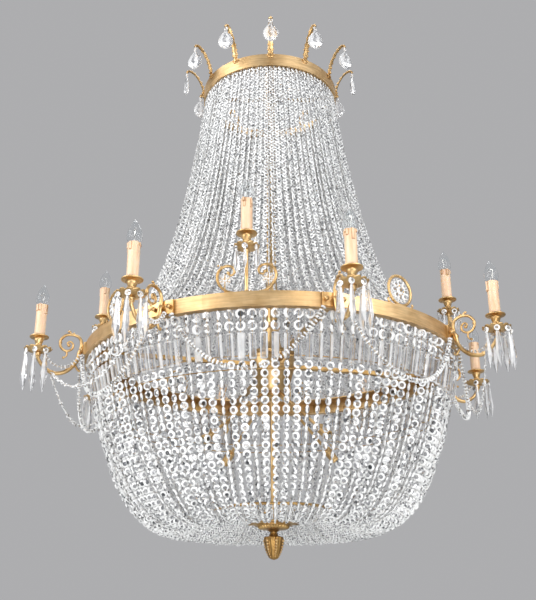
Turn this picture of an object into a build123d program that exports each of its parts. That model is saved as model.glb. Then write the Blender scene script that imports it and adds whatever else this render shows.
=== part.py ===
from build123d import *
import math
import os

os.makedirs("parts", exist_ok=True)

# Crystal chandelier of the tent and basket kind, for twelve candle bulbs.
# Millimetres, +Z up. The origin is the centre of the suspension eye's bore.
# Every repeated unit is drawn on the +X side and turned around the stem.

# ---- clearances -------------------------------------------------------------
touch = 0.3             # between pieces that only touch on the real object
pin_play = 0.05         # radial play of the swinging pin in its holes
thread_play = 0.1       # radial play of screws and of what is threaded on the stem

# ---- suspension -------------------------------------------------------------
eye_bore_radius = 14.0
eye_rim = 11.0
eye_thickness = 12.0
pin_drop = 52.0         # pin below the centre of the eye
pin_radius = 5.0
tongue_width = 24.0
tongue_thickness = 10.0
tongue_end = 10.0       # below the pin
swing_gap = 3.0         # under the tongue; its corners meet the saddle at about 16 degrees
cheek_thickness = 8.0
cheek_radius = 13.0
head_radius = 18.0
head_length = 45.0
pin_head_radius = 8.0
pin_head_height = 3.5

# ---- stem -------------------------------------------------------------------
stem_radius = 15.5
stem_bore = 12.0
spigot_length = 20.0
wire_hole_radius = 5.0
wire_hole_below_head = 34.0

# ---- crown ------------------------------------------------------------------
crown_level = -153.5    # middle of the crown ring
crown_radius = 200.0
crown_height = 38.0
crown_wall = 3.0
crown_flange = 24.0
crown_hub_radius = 24.0
crown_hub_height = 24.0
crown_spokes = 4
crown_spoke_width = 12.0
crown_spoke_height = 6.0
leaf_count = 12
leaf_width = 15.0
leaf_tip_width = 7.0
leaf_thickness = 3.0
leaf_reach = 55.0       # tip outside the crown ring
leaf_rise = 100.0       # tip above the middle of the crown ring
leaf_foot = 12.0        # foot below the top edge of the crown ring
tip_barrel_radius = 3.0
screw_radius = 2.0
screw_head_radius = 3.6
screw_head_height = 2.2
nut_radius = 3.5
nut_height = 3.0

# ---- crown drops ------------------------------------------------------------
drop_bead_radius = 7.0
drop_bead_thickness = 7.0
almond_length = 56.0
almond_width = 43.0
almond_thickness = 14.0

# ---- main ring --------------------------------------------------------------
ring_level = -1000.0    # middle of the main ring
ring_radius = 497.0
ring_height = 35.0
ring_wall = 4.0
ring_flange_wall = 3.0
ring_top_flange = 58.0
ring_bottom_flange = 18.0
ring_sections = 8
ring_joint_gap = 0.2
ring_joint_turn = 11.25  # degrees from an arm to the next joint
splice_thickness = 3.5
splice_turn = 5.0

# ---- hub --------------------------------------------------------------------
hub_collar_top = 117.5  # above the middle of the main ring
hub_collar_radius = 22.0
hub_collar_height = 13.0
bell_radius = 37.0
plate_radius = 67.0
plate_thickness = 8.0
plate_top = 32.0        # above the middle of the main ring
drum_radius = 60.0
drum_height = 36.0
bowl_radius = 38.0
bowl_depth = 66.0
bowl_tip_radius = 20.0
bowl_tip_height = 14.0
stem_in_bowl = 60.0     # how far the stem reaches below the drum's top
spoke_count = 4
spoke_width = 14.0
spoke_height = 10.0

# ---- candle arms ------------------------------------------------------------
arm_count = 8
arm_reach = 115.0       # candle axis outside the main ring
arm_dip = 63.0          # lowest point of the arm below the ring's middle
pan_drop = 4.0          # pan's rim below the ring's middle
arm_tube_radius = 6.0
bracket_width = 58.0
bracket_height = 32.0
bracket_thickness = 5.0
knob_offset = 20.0
knob_radius = 5.5
scroll_tube_radius = 4.0
scroll_bud_radius = 5.0

# ---- candles ----------------------------------------------------------------
pan_radius = 35.0
pan_depth = 8.0
pan_wall = 2.0
cup_height = 38.0
cup_radius = 11.5
flange_radius = 24.0
flange_thickness = 2.5
sleeve_radius = 13.5
sleeve_wall = 1.5
sleeve_height = 85.0
holder_radius = 11.6
holder_wall = 3.0
bulb_radius = 17.5
bulb_height = 58.0      # glass above the sleeve
glass_wall = 0.9
cap_radius = 6.9
cap_length = 24.0
bulb_stem_radius = 3.0

# ---- pan drops --------------------------------------------------------------
pan_drops = 6
pan_drop_turn = 50.0    # between neighbours; the side of the arm stays free
button_radius = 7.5
button_thickness = 6.0
spear_length = 88.0
spear_radius = 8.0
small_pan_radius = 30.0
small_pan_drops = 6
small_spear_length = 48.0
small_spear_radius = 6.5

# ---- upright candles and wreaths -------------------------------------------
upright_count = 4
upright_turn = 67.5
upright_inset = 18.0    # uprights and wreaths inside the main ring's face
upright_height = 114.0  # small pan above the ring's top
upright_stem_radius = 4.0
lyre_tube_radius = 3.0
lyre_reach = 66.0
lyre_height = 66.0
lyre_rosette_radius = 14.0
wreath_turn = 22.5
wreath_radius = 36.0
wreath_tube_radius = 4.0
wreath_lift = 5.0
rosette_thickness = 10.0

# ---- tent -------------------------------------------------------------------
tent_strands = 96       # in each of the two rows
tent_sag = 108.0        # scale of the catenary
tent_top_inset = 6.0    # outer row inside the crown ring
tent_foot_inset = 33.0  # outer row inside the main ring
tent_row_step = 12.0
tent_bead_radius = 5.0

# ---- basket -----------------------------------------------------------------
basket_strands = 120
basket_sag_share = 0.2072   # scale of the catenary as a share of the ring's radius
basket_ties = (0.0, 0.54, 0.79, 1.0)  # where each strand's lengths are linked
basket_top_inset = 9.0
octagon_radius = 12.0
octagon_thickness = 8.0
octagon_pitch = 26.0
pin_wire_radius = 0.7
prism_length = 59.0
prism_pin = 1.0         # pin beyond each end of a prism
prism_width = 17.0
prism_thickness = 8.5
basket_bead_radius = 9.5
basket_steps = 12       # flats along a strand
bead_share = 0.45       # bead radius as a share of the strands' pitch
spacer_wire_radius = 1.25

# ---- bottom -----------------------------------------------------------------
basket_depth_share = 0.7787  # bottom ring below the main ring, as a share of its radius
bottom_ring_share = 0.298    # bottom ring's radius, as a share of the main ring's
bottom_ring_bar = 4.0
bottom_strands = 60
bottom_sag = 14.0
rod_radius = 6.5
bottom_spokes = 4
bottom_spoke_radius = 3.0
bottom_hub_radius = 16.0
bottom_hub_height = 10.0
dish_radius = 56.0
dish_drop = 27.0        # dish rim below the bottom ring
dish_depth = 18.0
dish_wall = 4.0
petal_count = 12
petal_length = 12.0
neck_radius = 9.0
neck_height = 14.0
finial_radius = 24.5
finial_height = 58.0

# ---- garlands ---------------------------------------------------------------
garland_radius = 5.5
ring_festoon_sag = 140.0
outer_festoon_sag = 78.0
outer_festoon_bays = (1, 2, 3, 4, 7)  # bays counted from the +X arm; the front three stay free
festoon_reach = 8.0     # ring festoon outside the main ring
festoon_foot_inset = 32.0  # outer festoons meet the arms inside the candles' axis
arm_string_sag = 34.0
arm_string_inset = 16.0 # string ends inside the candle's axis

# ---- inner lamps ------------------------------------------------------------
lamp_count = 4
lamp_turn = 22.5
lamp_reach = 200.0
lamp_drop = 217.0       # socket's middle below the ring's middle
lamp_arm_radius = 4.0
lamp_arm_start = 26.0
lamp_holder_radius = 12.0
lamp_holder_length = 42.0

# ---- levels worked out from the sizes above ---------------------------------
crown_top = crown_level + crown_height / 2
crown_bottom = crown_level - crown_height / 2
ring_top = ring_level + ring_height / 2
ring_bottom = ring_level - ring_height / 2
ring_inner = ring_radius - ring_wall
upright_radius = ring_radius - upright_inset
bottom_ring_radius = ring_radius * bottom_ring_share
eye_radius = eye_bore_radius + eye_rim
saddle = -pin_drop - tongue_end - swing_gap
head_bottom = saddle - head_length
bottom_level = ring_level - ring_radius * basket_depth_share
dish_rim = bottom_level - dish_drop


# ---- tools ------------------------------------------------------------------
def save(name, solids):
    """Write one sub-part, a solid or a list of separate solids."""
    group = solids if isinstance(solids, list) else [solids]
    flat = []
    for item in group:
        flat.extend(item.solids())
    shape = flat[0] if len(flat) == 1 else Compound(children=flat)
    shape.label = name
    export_step(shape, "parts/" + name + ".step")


def turned_copies(shape, count, start=0.0):
    """Copies of a shape around the stem."""
    return [Rot(0, 0, start + i * 360.0 / count) * shape for i in range(count)]


def turned(points, arc=360.0):
    """A solid turned around Z from its half section in radius and height."""
    outline = Plane.XZ * make_face(Polyline(*points, close=True))
    return revolve(outline, Axis.Z, revolution_arc=arc)


def tube(points, radius, bend):
    """A round bar along straight runs joined by tangent arcs."""
    path = FilletPolyline(*points, radius=bend)
    return sweep(Plane(path @ 0, z_dir=path % 0) * Circle(radius), path)


def disc(radius, depth, centre, direction):
    """A cylinder that starts at a point and runs along a direction."""
    return extrude(Plane(centre, z_dir=direction) * Circle(radius), depth)


def gem(radius, thickness, sides, table=0.55):
    """A flat crystal, thick in the middle, that lies in the plane of Y and Z."""
    faces = []
    for offset, size in ((-thickness / 2, radius * table), (0, radius), (thickness / 2, radius * table)):
        plane = Plane((offset, 0, 0), x_dir=(0, 1, 0), z_dir=(1, 0, 0))
        faces.append(plane * RegularPolygon(size, sides, rotation=180.0 / sides))
    return loft(faces, ruled=True)


def spear(length, radius, sides=6, waist=0.62):
    """A long drop that hangs from its top point at the origin."""
    faces = []
    for level, size in ((0.0, radius * 0.28), (-length * waist, radius), (-length, radius * 0.08)):
        faces.append(Plane((0, 0, level)) * RegularPolygon(size, sides))
    return loft(faces, ruled=True)


def catenary(scale, start, end):
    """The hanging chain through two points: its lowest radius, and where it starts and ends."""
    low, high = -1500.0, 1500.0
    rise = start[1] - end[1]
    sign = 1.0 if start[0] > end[0] else -1.0
    for _ in range(80):
        middle = (low + high) / 2
        drop = scale * (math.cosh((start[0] - middle) / scale) - math.cosh((end[0] - middle) / scale))
        if sign * (drop - rise) > 0:
            low = middle
        else:
            high = middle
    lowest = (low + high) / 2
    first = scale * math.sinh((start[0] - lowest) / scale)
    last = scale * math.sinh((end[0] - lowest) / scale)
    floor = start[1] - scale * math.cosh((start[0] - lowest) / scale)
    return {"scale": scale, "lowest": lowest, "floor": floor, "first": first, "last": last}


def chain_length(chain):
    return abs(chain["last"] - chain["first"])


def chain_point(chain, distance):
    """Point and direction (radius, height) at a distance along the chain."""
    sign = 1.0 if chain["last"] > chain["first"] else -1.0
    along = chain["first"] + sign * distance
    turn = math.asinh(along / chain["scale"])
    radius = chain["lowest"] + chain["scale"] * turn
    height = chain["floor"] + chain["scale"] * math.cosh(turn)
    return (radius, height), (sign / math.cosh(turn), sign * math.tanh(turn))


def strand(chain, start, end, steps, bead_radius):
    """A slim round body along a chain, as thick as its beads."""
    rings = []
    for i in range(steps + 1):
        (radius, height), (out, up) = chain_point(chain, start + (end - start) * i / steps)
        place = Plane((radius, 0, height), z_dir=(out, 0, up), x_dir=(0, 1, 0))
        rings.append(place * Circle(bead_radius(radius)))
    return loft(rings, ruled=True)


# ---- suspension eye, pin and stem head --------------------------------------
def suspension_eye():
    plate = disc(eye_radius, eye_thickness, (-eye_thickness / 2, 0, 0), (1, 0, 0))
    tongue_top = -eye_bore_radius - eye_rim / 2
    length = pin_drop + tongue_end + tongue_top
    tongue = Pos(0, 0, tongue_top - length / 2) * Box(tongue_width, tongue_thickness, length)
    bore = disc(eye_bore_radius, tongue_width * 2, (-tongue_width, 0, 0), (1, 0, 0))
    hole = disc(pin_radius + pin_play, tongue_width, (0, -tongue_width / 2, -pin_drop), (0, 1, 0))
    return plate + tongue - bore - hole


cheek_inner = tongue_thickness / 2 + touch
cheek_outer = cheek_inner + cheek_thickness


def stem_head():
    body = turned([(0, saddle), (head_radius, saddle), (head_radius, head_bottom), (0, head_bottom)])
    spigot_radius = stem_bore - touch
    spigot_end = head_bottom - spigot_length
    spigot = turned([(0, head_bottom), (spigot_radius, head_bottom), (spigot_radius, spigot_end), (0, spigot_end)])
    head = body + spigot
    for side in (-1, 1):
        middle = side * (cheek_inner + cheek_thickness / 2)
        height = -pin_drop - saddle
        head += Pos(0, middle, saddle + height / 2) * Box(2 * cheek_radius, cheek_thickness, height)
        head += disc(cheek_radius, cheek_thickness, (0, middle - cheek_thickness / 2, -pin_drop), (0, 1, 0))
    hole = disc(pin_radius + pin_play, 4 * cheek_outer, (0, -2 * cheek_outer, -pin_drop), (0, 1, 0))
    slot_floor = Pos(0, 0, saddle - 1) * Box(2 * cheek_radius, 2 * cheek_inner, 2)
    return head - hole + slot_floor


def clevis_pin():
    start = (0, -cheek_outer - touch, -pin_drop)
    reach = 2 * cheek_outer + 2 * touch + pin_head_height
    shank = disc(pin_radius, reach, start, (0, 1, 0))
    head = disc(pin_head_radius, pin_head_height, start, (0, -1, 0))
    nut_plane = Plane((0, cheek_outer + touch, -pin_drop), z_dir=(0, 1, 0))
    nut = extrude(nut_plane * RegularPolygon(pin_head_radius, 6), pin_head_height)
    nut -= disc(pin_radius + thread_play, 2 * pin_head_height, (0, cheek_outer, -pin_drop), (0, 1, 0))
    return [shank + head, nut]


# ---- hub levels and stem -----------------------------------------------------
collar_top = ring_level + hub_collar_top
plate_top_level = ring_level + plate_top
drum_top = plate_top_level - plate_thickness
drum_bottom = drum_top - drum_height
bowl_bottom = drum_bottom - bowl_depth
bowl_tip = bowl_bottom - bowl_tip_height
stem_bottom = drum_top - stem_in_bowl
on_stem = stem_radius + thread_play


def stem_tube():
    tube_wall = turned([
        (stem_bore, head_bottom),
        (stem_radius, head_bottom),
        (stem_radius, stem_bottom),
        (stem_bore, stem_bottom),
    ])
    hole = disc(wire_hole_radius, 2 * stem_radius, (0, 0, head_bottom - wire_hole_below_head), (1, 0, 0))
    return tube_wall - hole


def hub_bell():
    neck = collar_top - hub_collar_height
    return turned([
        (on_stem, collar_top),
        (hub_collar_radius, collar_top),
        (hub_collar_radius, neck),
        (stem_radius + 4, neck),
        (stem_radius + 6, (neck + plate_top_level) / 2),
        (bell_radius - 7, plate_top_level + 16),
        (bell_radius, plate_top_level),
        (on_stem, plate_top_level),
    ])


def hub_plate():
    return turned([
        (on_stem, plate_top_level),
        (plate_radius - 2, plate_top_level),
        (plate_radius, plate_top_level - plate_thickness / 2),
        (plate_radius - 2, drum_top),
        (on_stem, drum_top),
    ])


def hub_bowl():
    return turned([
        (on_stem, drum_top),
        (drum_radius, drum_top),
        (drum_radius, drum_bottom),
        ((drum_radius + bowl_radius) / 2 + 2, (drum_bottom + bowl_bottom) / 2),
        (bowl_radius, bowl_bottom),
        (bowl_tip_radius, bowl_bottom),
        (bowl_tip_radius, bowl_tip),
        (rod_radius + thread_play, bowl_tip),
        (rod_radius + thread_play, stem_bottom),
        (on_stem, stem_bottom),
    ])


def hub_spokes():
    length = ring_inner - touch
    bar = Pos(length / 2, 0, ring_level) * Box(length, spoke_width, spoke_height)
    bar -= Pos(0, 0, ring_level) * Cylinder(drum_radius + touch, 2 * spoke_height)
    return turned_copies(bar, spoke_count)


# ---- crown ---------------------------------------------------------------------
def crown_ring():
    wall = crown_radius - crown_wall
    ring = turned([
        (wall, crown_top),
        (crown_radius, crown_top),
        (crown_radius, crown_bottom),
        (crown_radius - crown_flange, crown_bottom),
        (crown_radius - crown_flange, crown_bottom + crown_wall),
        (wall, crown_bottom + crown_wall),
    ])
    for place in turned_copies(leaf_screw_hole(), leaf_count, leaf_turn):
        ring -= place
    return ring


leaf_turn = 180.0 / leaf_count
leaf_screw_level = crown_top - leaf_foot / 2


def leaf_screw_hole():
    reach = crown_wall + leaf_thickness + 4
    return disc(screw_radius + thread_play, reach, (crown_radius - crown_wall - 1, 0, leaf_screw_level), (1, 0, 0))


def crown_spider():
    hub = Pos(0, 0, crown_level) * Cylinder(crown_hub_radius, crown_hub_height)
    reach = crown_radius - crown_wall - touch
    bar = Pos(reach / 2, 0, crown_level) * Box(reach, crown_spoke_width, crown_spoke_height)
    for place in turned_copies(bar, crown_spokes, -leaf_turn):
        hub += place
    return hub - Pos(0, 0, crown_level) * Cylinder(on_stem, crown_hub_height * 2)


tip_radius = crown_radius + leaf_reach
tip_level = crown_level + leaf_rise
leaf_face = crown_radius + touch


def leaf_path():
    """Middle of the blade as radius and height, from its foot to the barrel, with its width's share."""
    root = leaf_face + leaf_thickness / 2
    reach = tip_radius - root
    rise = tip_level - crown_top
    points = [(root, crown_top - leaf_foot, 1.0), (root, crown_top + 4, 1.0)]
    for out, up, wide in (
        (0.10, 0.34, 1.0),
        (0.26, 0.62, 0.95),
        (0.50, 0.88, 0.85),
        (0.76, 1.04, 0.72),
        (0.93, 1.05, 0.58),
    ):
        points.append((root + reach * out, crown_top + rise * up, wide))
    return points + [(tip_radius, tip_level, leaf_tip_width / leaf_width)]


def leaf_bracket():
    """One curved leaf: a foot on the ring, a rising blade and a barrel at its tip."""
    path = leaf_path()
    sections = []
    for i, (radius, height, wide) in enumerate(path):
        before = path[max(i - 1, 0)]
        after = path[min(i + 1, len(path) - 1)]
        way = (after[0] - before[0], 0, after[1] - before[1])
        place = Plane((radius, 0, height), x_dir=(0, 1, 0), z_dir=way)
        sections.append(place * Rectangle(leaf_width * wide, leaf_thickness))
    leaf = loft(sections, ruled=True)
    leaf += disc(tip_barrel_radius, leaf_tip_width, (tip_radius, -leaf_tip_width / 2, tip_level), (0, 1, 0))
    return leaf - leaf_screw_hole()


def fixing_screws():
    """Screws through the crown leaves, with their nuts inside the ring."""
    head_face = leaf_face + leaf_thickness + touch
    wall_face = crown_radius - crown_wall - touch
    head = disc(screw_head_radius, screw_head_height, (head_face, 0, leaf_screw_level), (1, 0, 0))
    reach = head_face - wall_face + nut_height
    shank = disc(screw_radius, reach, (wall_face - nut_height, 0, leaf_screw_level), (1, 0, 0))
    nut_plane = Plane((wall_face, 0, leaf_screw_level), z_dir=(-1, 0, 0))
    nut = extrude(nut_plane * RegularPolygon(nut_radius, 6), nut_height)
    nut -= disc(screw_radius + thread_play, 2 * nut_height, (wall_face + 1, 0, leaf_screw_level), (-1, 0, 0))
    screws = turned_copies(head + shank, leaf_count, leaf_turn)
    return screws + turned_copies(nut, leaf_count, leaf_turn)


def crown_drop():
    """The octagon bead and the almond that swing from a leaf's tip."""
    bead_level = tip_level - tip_barrel_radius - touch - drop_bead_radius
    bead = Pos(tip_radius, 0, bead_level) * gem(drop_bead_radius, drop_bead_thickness, 8)
    top = bead_level - drop_bead_radius - touch
    crown_part = []
    for share, level in ((0.10, 0.0), (0.62, 0.28), (1.0, 0.60), (0.70, 0.86), (0.16, 1.0)):
        plane = Plane((tip_radius, 0, top - almond_length * level))
        crown_part.append(plane * Ellipse(almond_thickness / 2 * share, almond_width / 2 * share))
    almond = loft(crown_part, ruled=True)
    return [bead, almond]


# ---- main ring ------------------------------------------------------------------
ring_joint_angle = math.degrees(ring_joint_gap / ring_radius)


def main_ring():
    section = turned([
        (ring_radius - ring_top_flange, ring_top),
        (ring_radius, ring_top),
        (ring_radius, ring_bottom),
        (ring_radius - ring_bottom_flange, ring_bottom),
        (ring_radius - ring_bottom_flange, ring_bottom + ring_flange_wall),
        (ring_inner, ring_bottom + ring_flange_wall),
        (ring_inner, ring_top - ring_flange_wall),
        (ring_radius - ring_top_flange, ring_top - ring_flange_wall),
    ], 360.0 / ring_sections - ring_joint_angle)
    sections = turned_copies(section, ring_sections, ring_joint_turn)
    drilled = []
    for piece in sections:
        for hole in knob_holes():
            piece -= hole
        drilled.append(piece)
    return drilled


def ring_splices():
    outer = ring_inner - touch
    inner = outer - splice_thickness
    high = ring_top - ring_flange_wall - touch
    low = ring_bottom + ring_flange_wall + touch
    plate = turned([(inner, high), (outer, high), (outer, low), (inner, low)], splice_turn)
    return turned_copies(plate, ring_sections, ring_joint_turn - splice_turn / 2)


def knob_places():
    """Turn and tangential offset of each ball knob: two at an arm."""
    places = []
    for i in range(arm_count):
        places.append((i * 360.0 / arm_count, knob_offset))
        places.append((i * 360.0 / arm_count, -knob_offset))
    return places


def knob_holes():
    start = ring_inner - 6
    reach = ring_wall + bracket_thickness + 10
    holes = []
    for turn, offset in knob_places():
        holes.append(Rot(0, 0, turn) * disc(screw_radius + thread_play, reach, (start, offset, ring_level), (1, 0, 0)))
    return holes


bracket_face = ring_radius + touch + bracket_thickness


def arm_brackets():
    """Plates on the ring, curved with it inside and flat outside."""
    block = Pos(ring_radius, 0, ring_level) * Box(2 * (bracket_face - ring_radius), bracket_width, bracket_height)
    block -= Pos(0, 0, ring_level) * Cylinder(ring_radius + touch, 2 * bracket_height)
    for offset in (-knob_offset, knob_offset):
        block -= disc(screw_radius + thread_play, 40, (ring_radius - 10, offset, ring_level), (1, 0, 0))
    return turned_copies(block, arm_count)


def arm_knobs():
    """Ball knobs on screws, and their nuts behind the ring."""
    ball_centre = bracket_face + touch + knob_radius * 0.9
    knobs = []
    nut_face = ring_inner - 2 * touch - knob_offset ** 2 / (2 * ring_inner)
    flat = Plane((bracket_face + touch, 0, ring_level), z_dir=(1, 0, 0))
    ball = Pos(ball_centre, 0, ring_level) * Sphere(knob_radius)
    ball = split(ball, bisect_by=flat, keep=Keep.TOP)
    shank = disc(screw_radius, ball_centre - nut_face + nut_height, (nut_face - nut_height, 0, ring_level), (1, 0, 0))
    nut_plane = Plane((nut_face, 0, ring_level), z_dir=(-1, 0, 0))
    nut = extrude(nut_plane * RegularPolygon(nut_radius, 6), nut_height)
    nut -= disc(screw_radius + thread_play, 3 * nut_height, (nut_face + 1, 0, ring_level), (-1, 0, 0))
    for turn, offset in knob_places():
        place = Rot(0, 0, turn) * Pos(0, offset, 0)
        knobs.append(place * (ball + shank))
        knobs.append(place * nut)
    return knobs


# ---- candle arms ------------------------------------------------------------------
arm_radius = ring_radius + arm_reach
pan_level = ring_level - pan_drop
arm_low = ring_level - arm_dip


def arm_bar():
    """The arm dips from its bracket and rises to the pan."""
    start = bracket_face + touch + arm_tube_radius
    span = arm_radius - start
    points = [
        (start, 0, ring_level + 4),
        (start + span * 0.03, 0, ring_level - arm_dip * 0.30),
        (start + span * 0.16, 0, ring_level - arm_dip * 0.66),
        (start + span * 0.36, 0, arm_low + 3),
        (start + span * 0.60, 0, arm_low),
        (start + span * 0.82, 0, arm_low + arm_dip * 0.20),
        (start + span * 0.97, 0, arm_low + arm_dip * 0.48),
        (arm_radius, 0, arm_low + arm_dip * 0.66),
        (arm_radius, 0, pan_level - pan_depth - touch),
    ]
    return tube(points, arm_tube_radius, 9.0)


def arm_foot():
    """The boss that ties an arm's start to its bracket."""
    return disc(arm_tube_radius * 0.8, arm_tube_radius, (bracket_face + touch, 0, ring_level - 2), (1, 0, 0))


def arm_scroll():
    """The spiral on top of the arm, with its bud, and the tail with its ball."""
    start = bracket_face + touch + scroll_tube_radius
    base = ring_level + arm_tube_radius + scroll_tube_radius + 2
    spiral = [
        (start, base),
        (start, ring_level + 26),
        (start + 8, ring_level + 36.5),
        (start + 24, ring_level + 42),
        (start + 41, ring_level + 39),
        (start + 53, ring_level + 25),
        (start + 52.5, ring_level + 11),
        (start + 45, ring_level),
        (start + 33, ring_level - 3),
        (start + 21, ring_level + 5),
        (start + 20, ring_level + 17),
        (start + 28, ring_level + 23),
    ]
    bar = tube([(x, 0, z) for x, z in spiral], scroll_tube_radius * 0.9, 5.5)
    eye = Pos(start + 30, 0, ring_level + 18.5) * Sphere(scroll_bud_radius)
    bud = Pos(start + 26, 0, ring_level + 46) * Sphere(scroll_bud_radius)
    tail = tube([
        (start + 33, 0, ring_level - 2),
        (start + 33, 0, ring_level - 13),
        (start + 39, 0, ring_level - 20),
    ], scroll_tube_radius * 0.7, 4.0)
    ball = Pos(start + 39, 0, ring_level - 20) * Sphere(scroll_bud_radius * 0.8)
    return bar + eye + bud + tail + ball


# ---- candles ------------------------------------------------------------------------
def drip_pan(radius):
    """A leaf-edged saucer; its boss stands on the arm and its rim carries the drops."""
    saucer = turned([
        (0, -pan_depth),
        (10, -pan_depth),
        (radius * 0.6, -pan_depth * 0.55),
        (radius, 0),
        (radius, pan_wall),
        (radius * 0.6, pan_wall - pan_depth * 0.55),
        (10, pan_wall - pan_depth * 0.85),
        (0, pan_wall - pan_depth * 0.85),
    ])
    notch = Pos(radius * 1.08, 0, 0) * Cylinder(radius * 0.14, 4 * pan_depth)
    for place in turned_copies(notch, 2 * pan_drops, 15.0):
        saucer -= place
    return saucer


cup_foot = pan_wall - pan_depth * 0.85 + touch
flange_level = cup_foot + cup_height


def candle_cup():
    """Turned vase cup with the flange that the candle stands on."""
    return turned([
        (0, cup_foot),
        (cup_radius * 0.8, cup_foot),
        (cup_radius * 0.55, cup_foot + cup_height * 0.25),
        (cup_radius * 0.75, cup_foot + cup_height * 0.35),
        (cup_radius, cup_foot + cup_height * 0.80),
        (flange_radius * 0.85, flange_level - flange_thickness),
        (flange_radius, flange_level),
        (flange_radius - 1, flange_level + 1),
        (sleeve_radius + 3, flange_level),
        (0, flange_level),
    ])


sleeve_foot = flange_level + touch
sleeve_top = sleeve_foot + sleeve_height
bulb_seat = sleeve_top - 4.0


def candle_sleeve():
    inner = sleeve_radius - sleeve_wall
    return turned([
        (inner, sleeve_foot),
        (sleeve_radius, sleeve_foot),
        (sleeve_radius, sleeve_top),
        (inner, sleeve_top),
    ])


def lamp_holder():
    """The holder inside the sleeve, closed at its foot and open for the cap."""
    bore = cap_radius + touch
    top = bulb_seat - 6
    return turned([
        (0, sleeve_foot),
        (holder_radius, sleeve_foot),
        (holder_radius, top),
        (bore, top),
        (bore, top - cap_length),
        (0, top - cap_length),
    ])


def bulb_cap():
    top = bulb_seat - 2
    bottom = bulb_seat - 6 - cap_length + touch
    return turned([
        (0, bottom),
        (cap_radius * 0.5, bottom),
        (cap_radius, bottom + 4),
        (cap_radius, top),
        (0, top),
    ])


bulb_profile = (
    (0.38, 0.00),
    (0.40, 0.05),
    (0.66, 0.10),
    (0.92, 0.18),
    (1.00, 0.32),
    (0.90, 0.52),
    (0.66, 0.72),
    (0.36, 0.88),
    (0.14, 0.96),
)


def bulb_glass():
    """A clear candle envelope, open where its stem enters."""
    foot = bulb_seat - 2 + touch
    length = sleeve_top + bulb_height - foot
    outer = [(bulb_radius * x, foot + length * z) for x, z in bulb_profile]
    inner = [(bulb_radius * x - glass_wall, foot + length * z) for x, z in reversed(bulb_profile)]
    tip = [(0, foot + length), (0, foot + length - 2 * glass_wall)]
    return turned(outer + tip + inner)


def bulb_stem():
    """The glass stem inside the bulb that carries the filament."""
    foot = bulb_seat - 2 + touch
    return turned([
        (0, foot),
        (bulb_radius * 0.26, foot),
        (bulb_stem_radius * 0.6, foot + bulb_height * 0.30),
        (bulb_stem_radius * 0.5, foot + bulb_height * 0.66),
        (0, foot + bulb_height * 0.66),
    ])


def pan_drops_for(radius, turns, length, width):
    """Button beads under a pan's rim, each with a spear below it."""
    centre = radius - button_thickness / 2
    hang = -pan_depth * 0.12 - touch - button_radius
    button = Pos(centre, 0, hang) * gem(button_radius, button_thickness, 8)
    drop = Pos(centre, 0, hang - button_radius - touch) * spear(length, width)
    return [Rot(0, 0, turn) * button for turn in turns], [Rot(0, 0, turn) * drop for turn in turns]


def at_arms(shape):
    return turned_copies(Pos(arm_radius, 0, pan_level) * shape, arm_count)


upright_pan_level = ring_top + upright_height


def at_uprights(shape):
    return turned_copies(Pos(upright_radius, 0, upright_pan_level) * shape, upright_count, upright_turn)


def at_all_candles(shape):
    return at_arms(shape) + at_uprights(shape)


# ---- upright candles -------------------------------------------------------------
def upright_stem():
    foot = ring_top + touch
    top = upright_pan_level - pan_depth - touch
    stem = turned([
        (0, foot),
        (upright_stem_radius * 2, foot),
        (upright_stem_radius * 1.2, foot + 8),
        (upright_stem_radius, foot + 14),
        (upright_stem_radius, top - 8),
        (upright_stem_radius * 1.8, top),
        (0, top),
    ])
    return Pos(upright_radius, 0, 0) * stem


lyre_base = ring_top + touch + lyre_tube_radius


def lyre_points():
    """Half of the lyre in tangential and upward offsets: out, up and curled in."""
    inner = upright_stem_radius * 2 + touch + lyre_tube_radius
    return [
        (inner, 0),
        (lyre_reach * 0.40, 0),
        (lyre_reach * 0.74, lyre_height * 0.12),
        (lyre_reach, lyre_height * 0.42),
        (lyre_reach * 0.98, lyre_height * 0.78),
        (lyre_reach * 0.78, lyre_height),
        (lyre_reach * 0.50, lyre_height * 0.98),
        (lyre_reach * 0.42, lyre_height * 0.80),
    ]


def lyre_scrolls():
    pair = []
    for side in (-1, 1):
        points = [(upright_radius, side * y, lyre_base + z) for y, z in lyre_points()]
        bar = tube(points, lyre_tube_radius, 7.0)
        bar += Pos(*points[-1]) * Sphere(lyre_tube_radius * 1.35)
        pair.append(bar)
    placed = []
    for bar in pair:
        placed += turned_copies(bar, upright_count, upright_turn)
    return placed


def crystal_rosettes():
    """Flat crystals inside the lyre scrolls and the wreaths."""
    placed = []
    centre_out = lyre_reach - lyre_tube_radius - 2 * touch - lyre_rosette_radius
    for side in (-1, 1):
        small = gem(lyre_rosette_radius, rosette_thickness * 0.8, 10)
        small = Pos(upright_radius, side * centre_out, lyre_base + lyre_height * 0.50) * small
        placed += turned_copies(small, upright_count, upright_turn)
    large = gem(wreath_radius - wreath_tube_radius - touch, rosette_thickness, 12)
    placed += turned_copies(Pos(upright_radius, 0, wreath_level) * large, upright_count, wreath_turn)
    return placed


wreath_level = ring_top + touch + wreath_lift + wreath_radius + wreath_tube_radius


def wreaths():
    rim = Pos(upright_radius, 0, wreath_level) * (Rot(0, 90, 0) * Torus(wreath_radius, wreath_tube_radius))
    foot_top = wreath_level - wreath_radius
    foot_height = foot_top - ring_top - touch
    foot = Pos(upright_radius, 0, ring_top + touch + foot_height / 2) * Cylinder(wreath_tube_radius, foot_height)
    return turned_copies(rim + foot, upright_count, wreath_turn)


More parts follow.
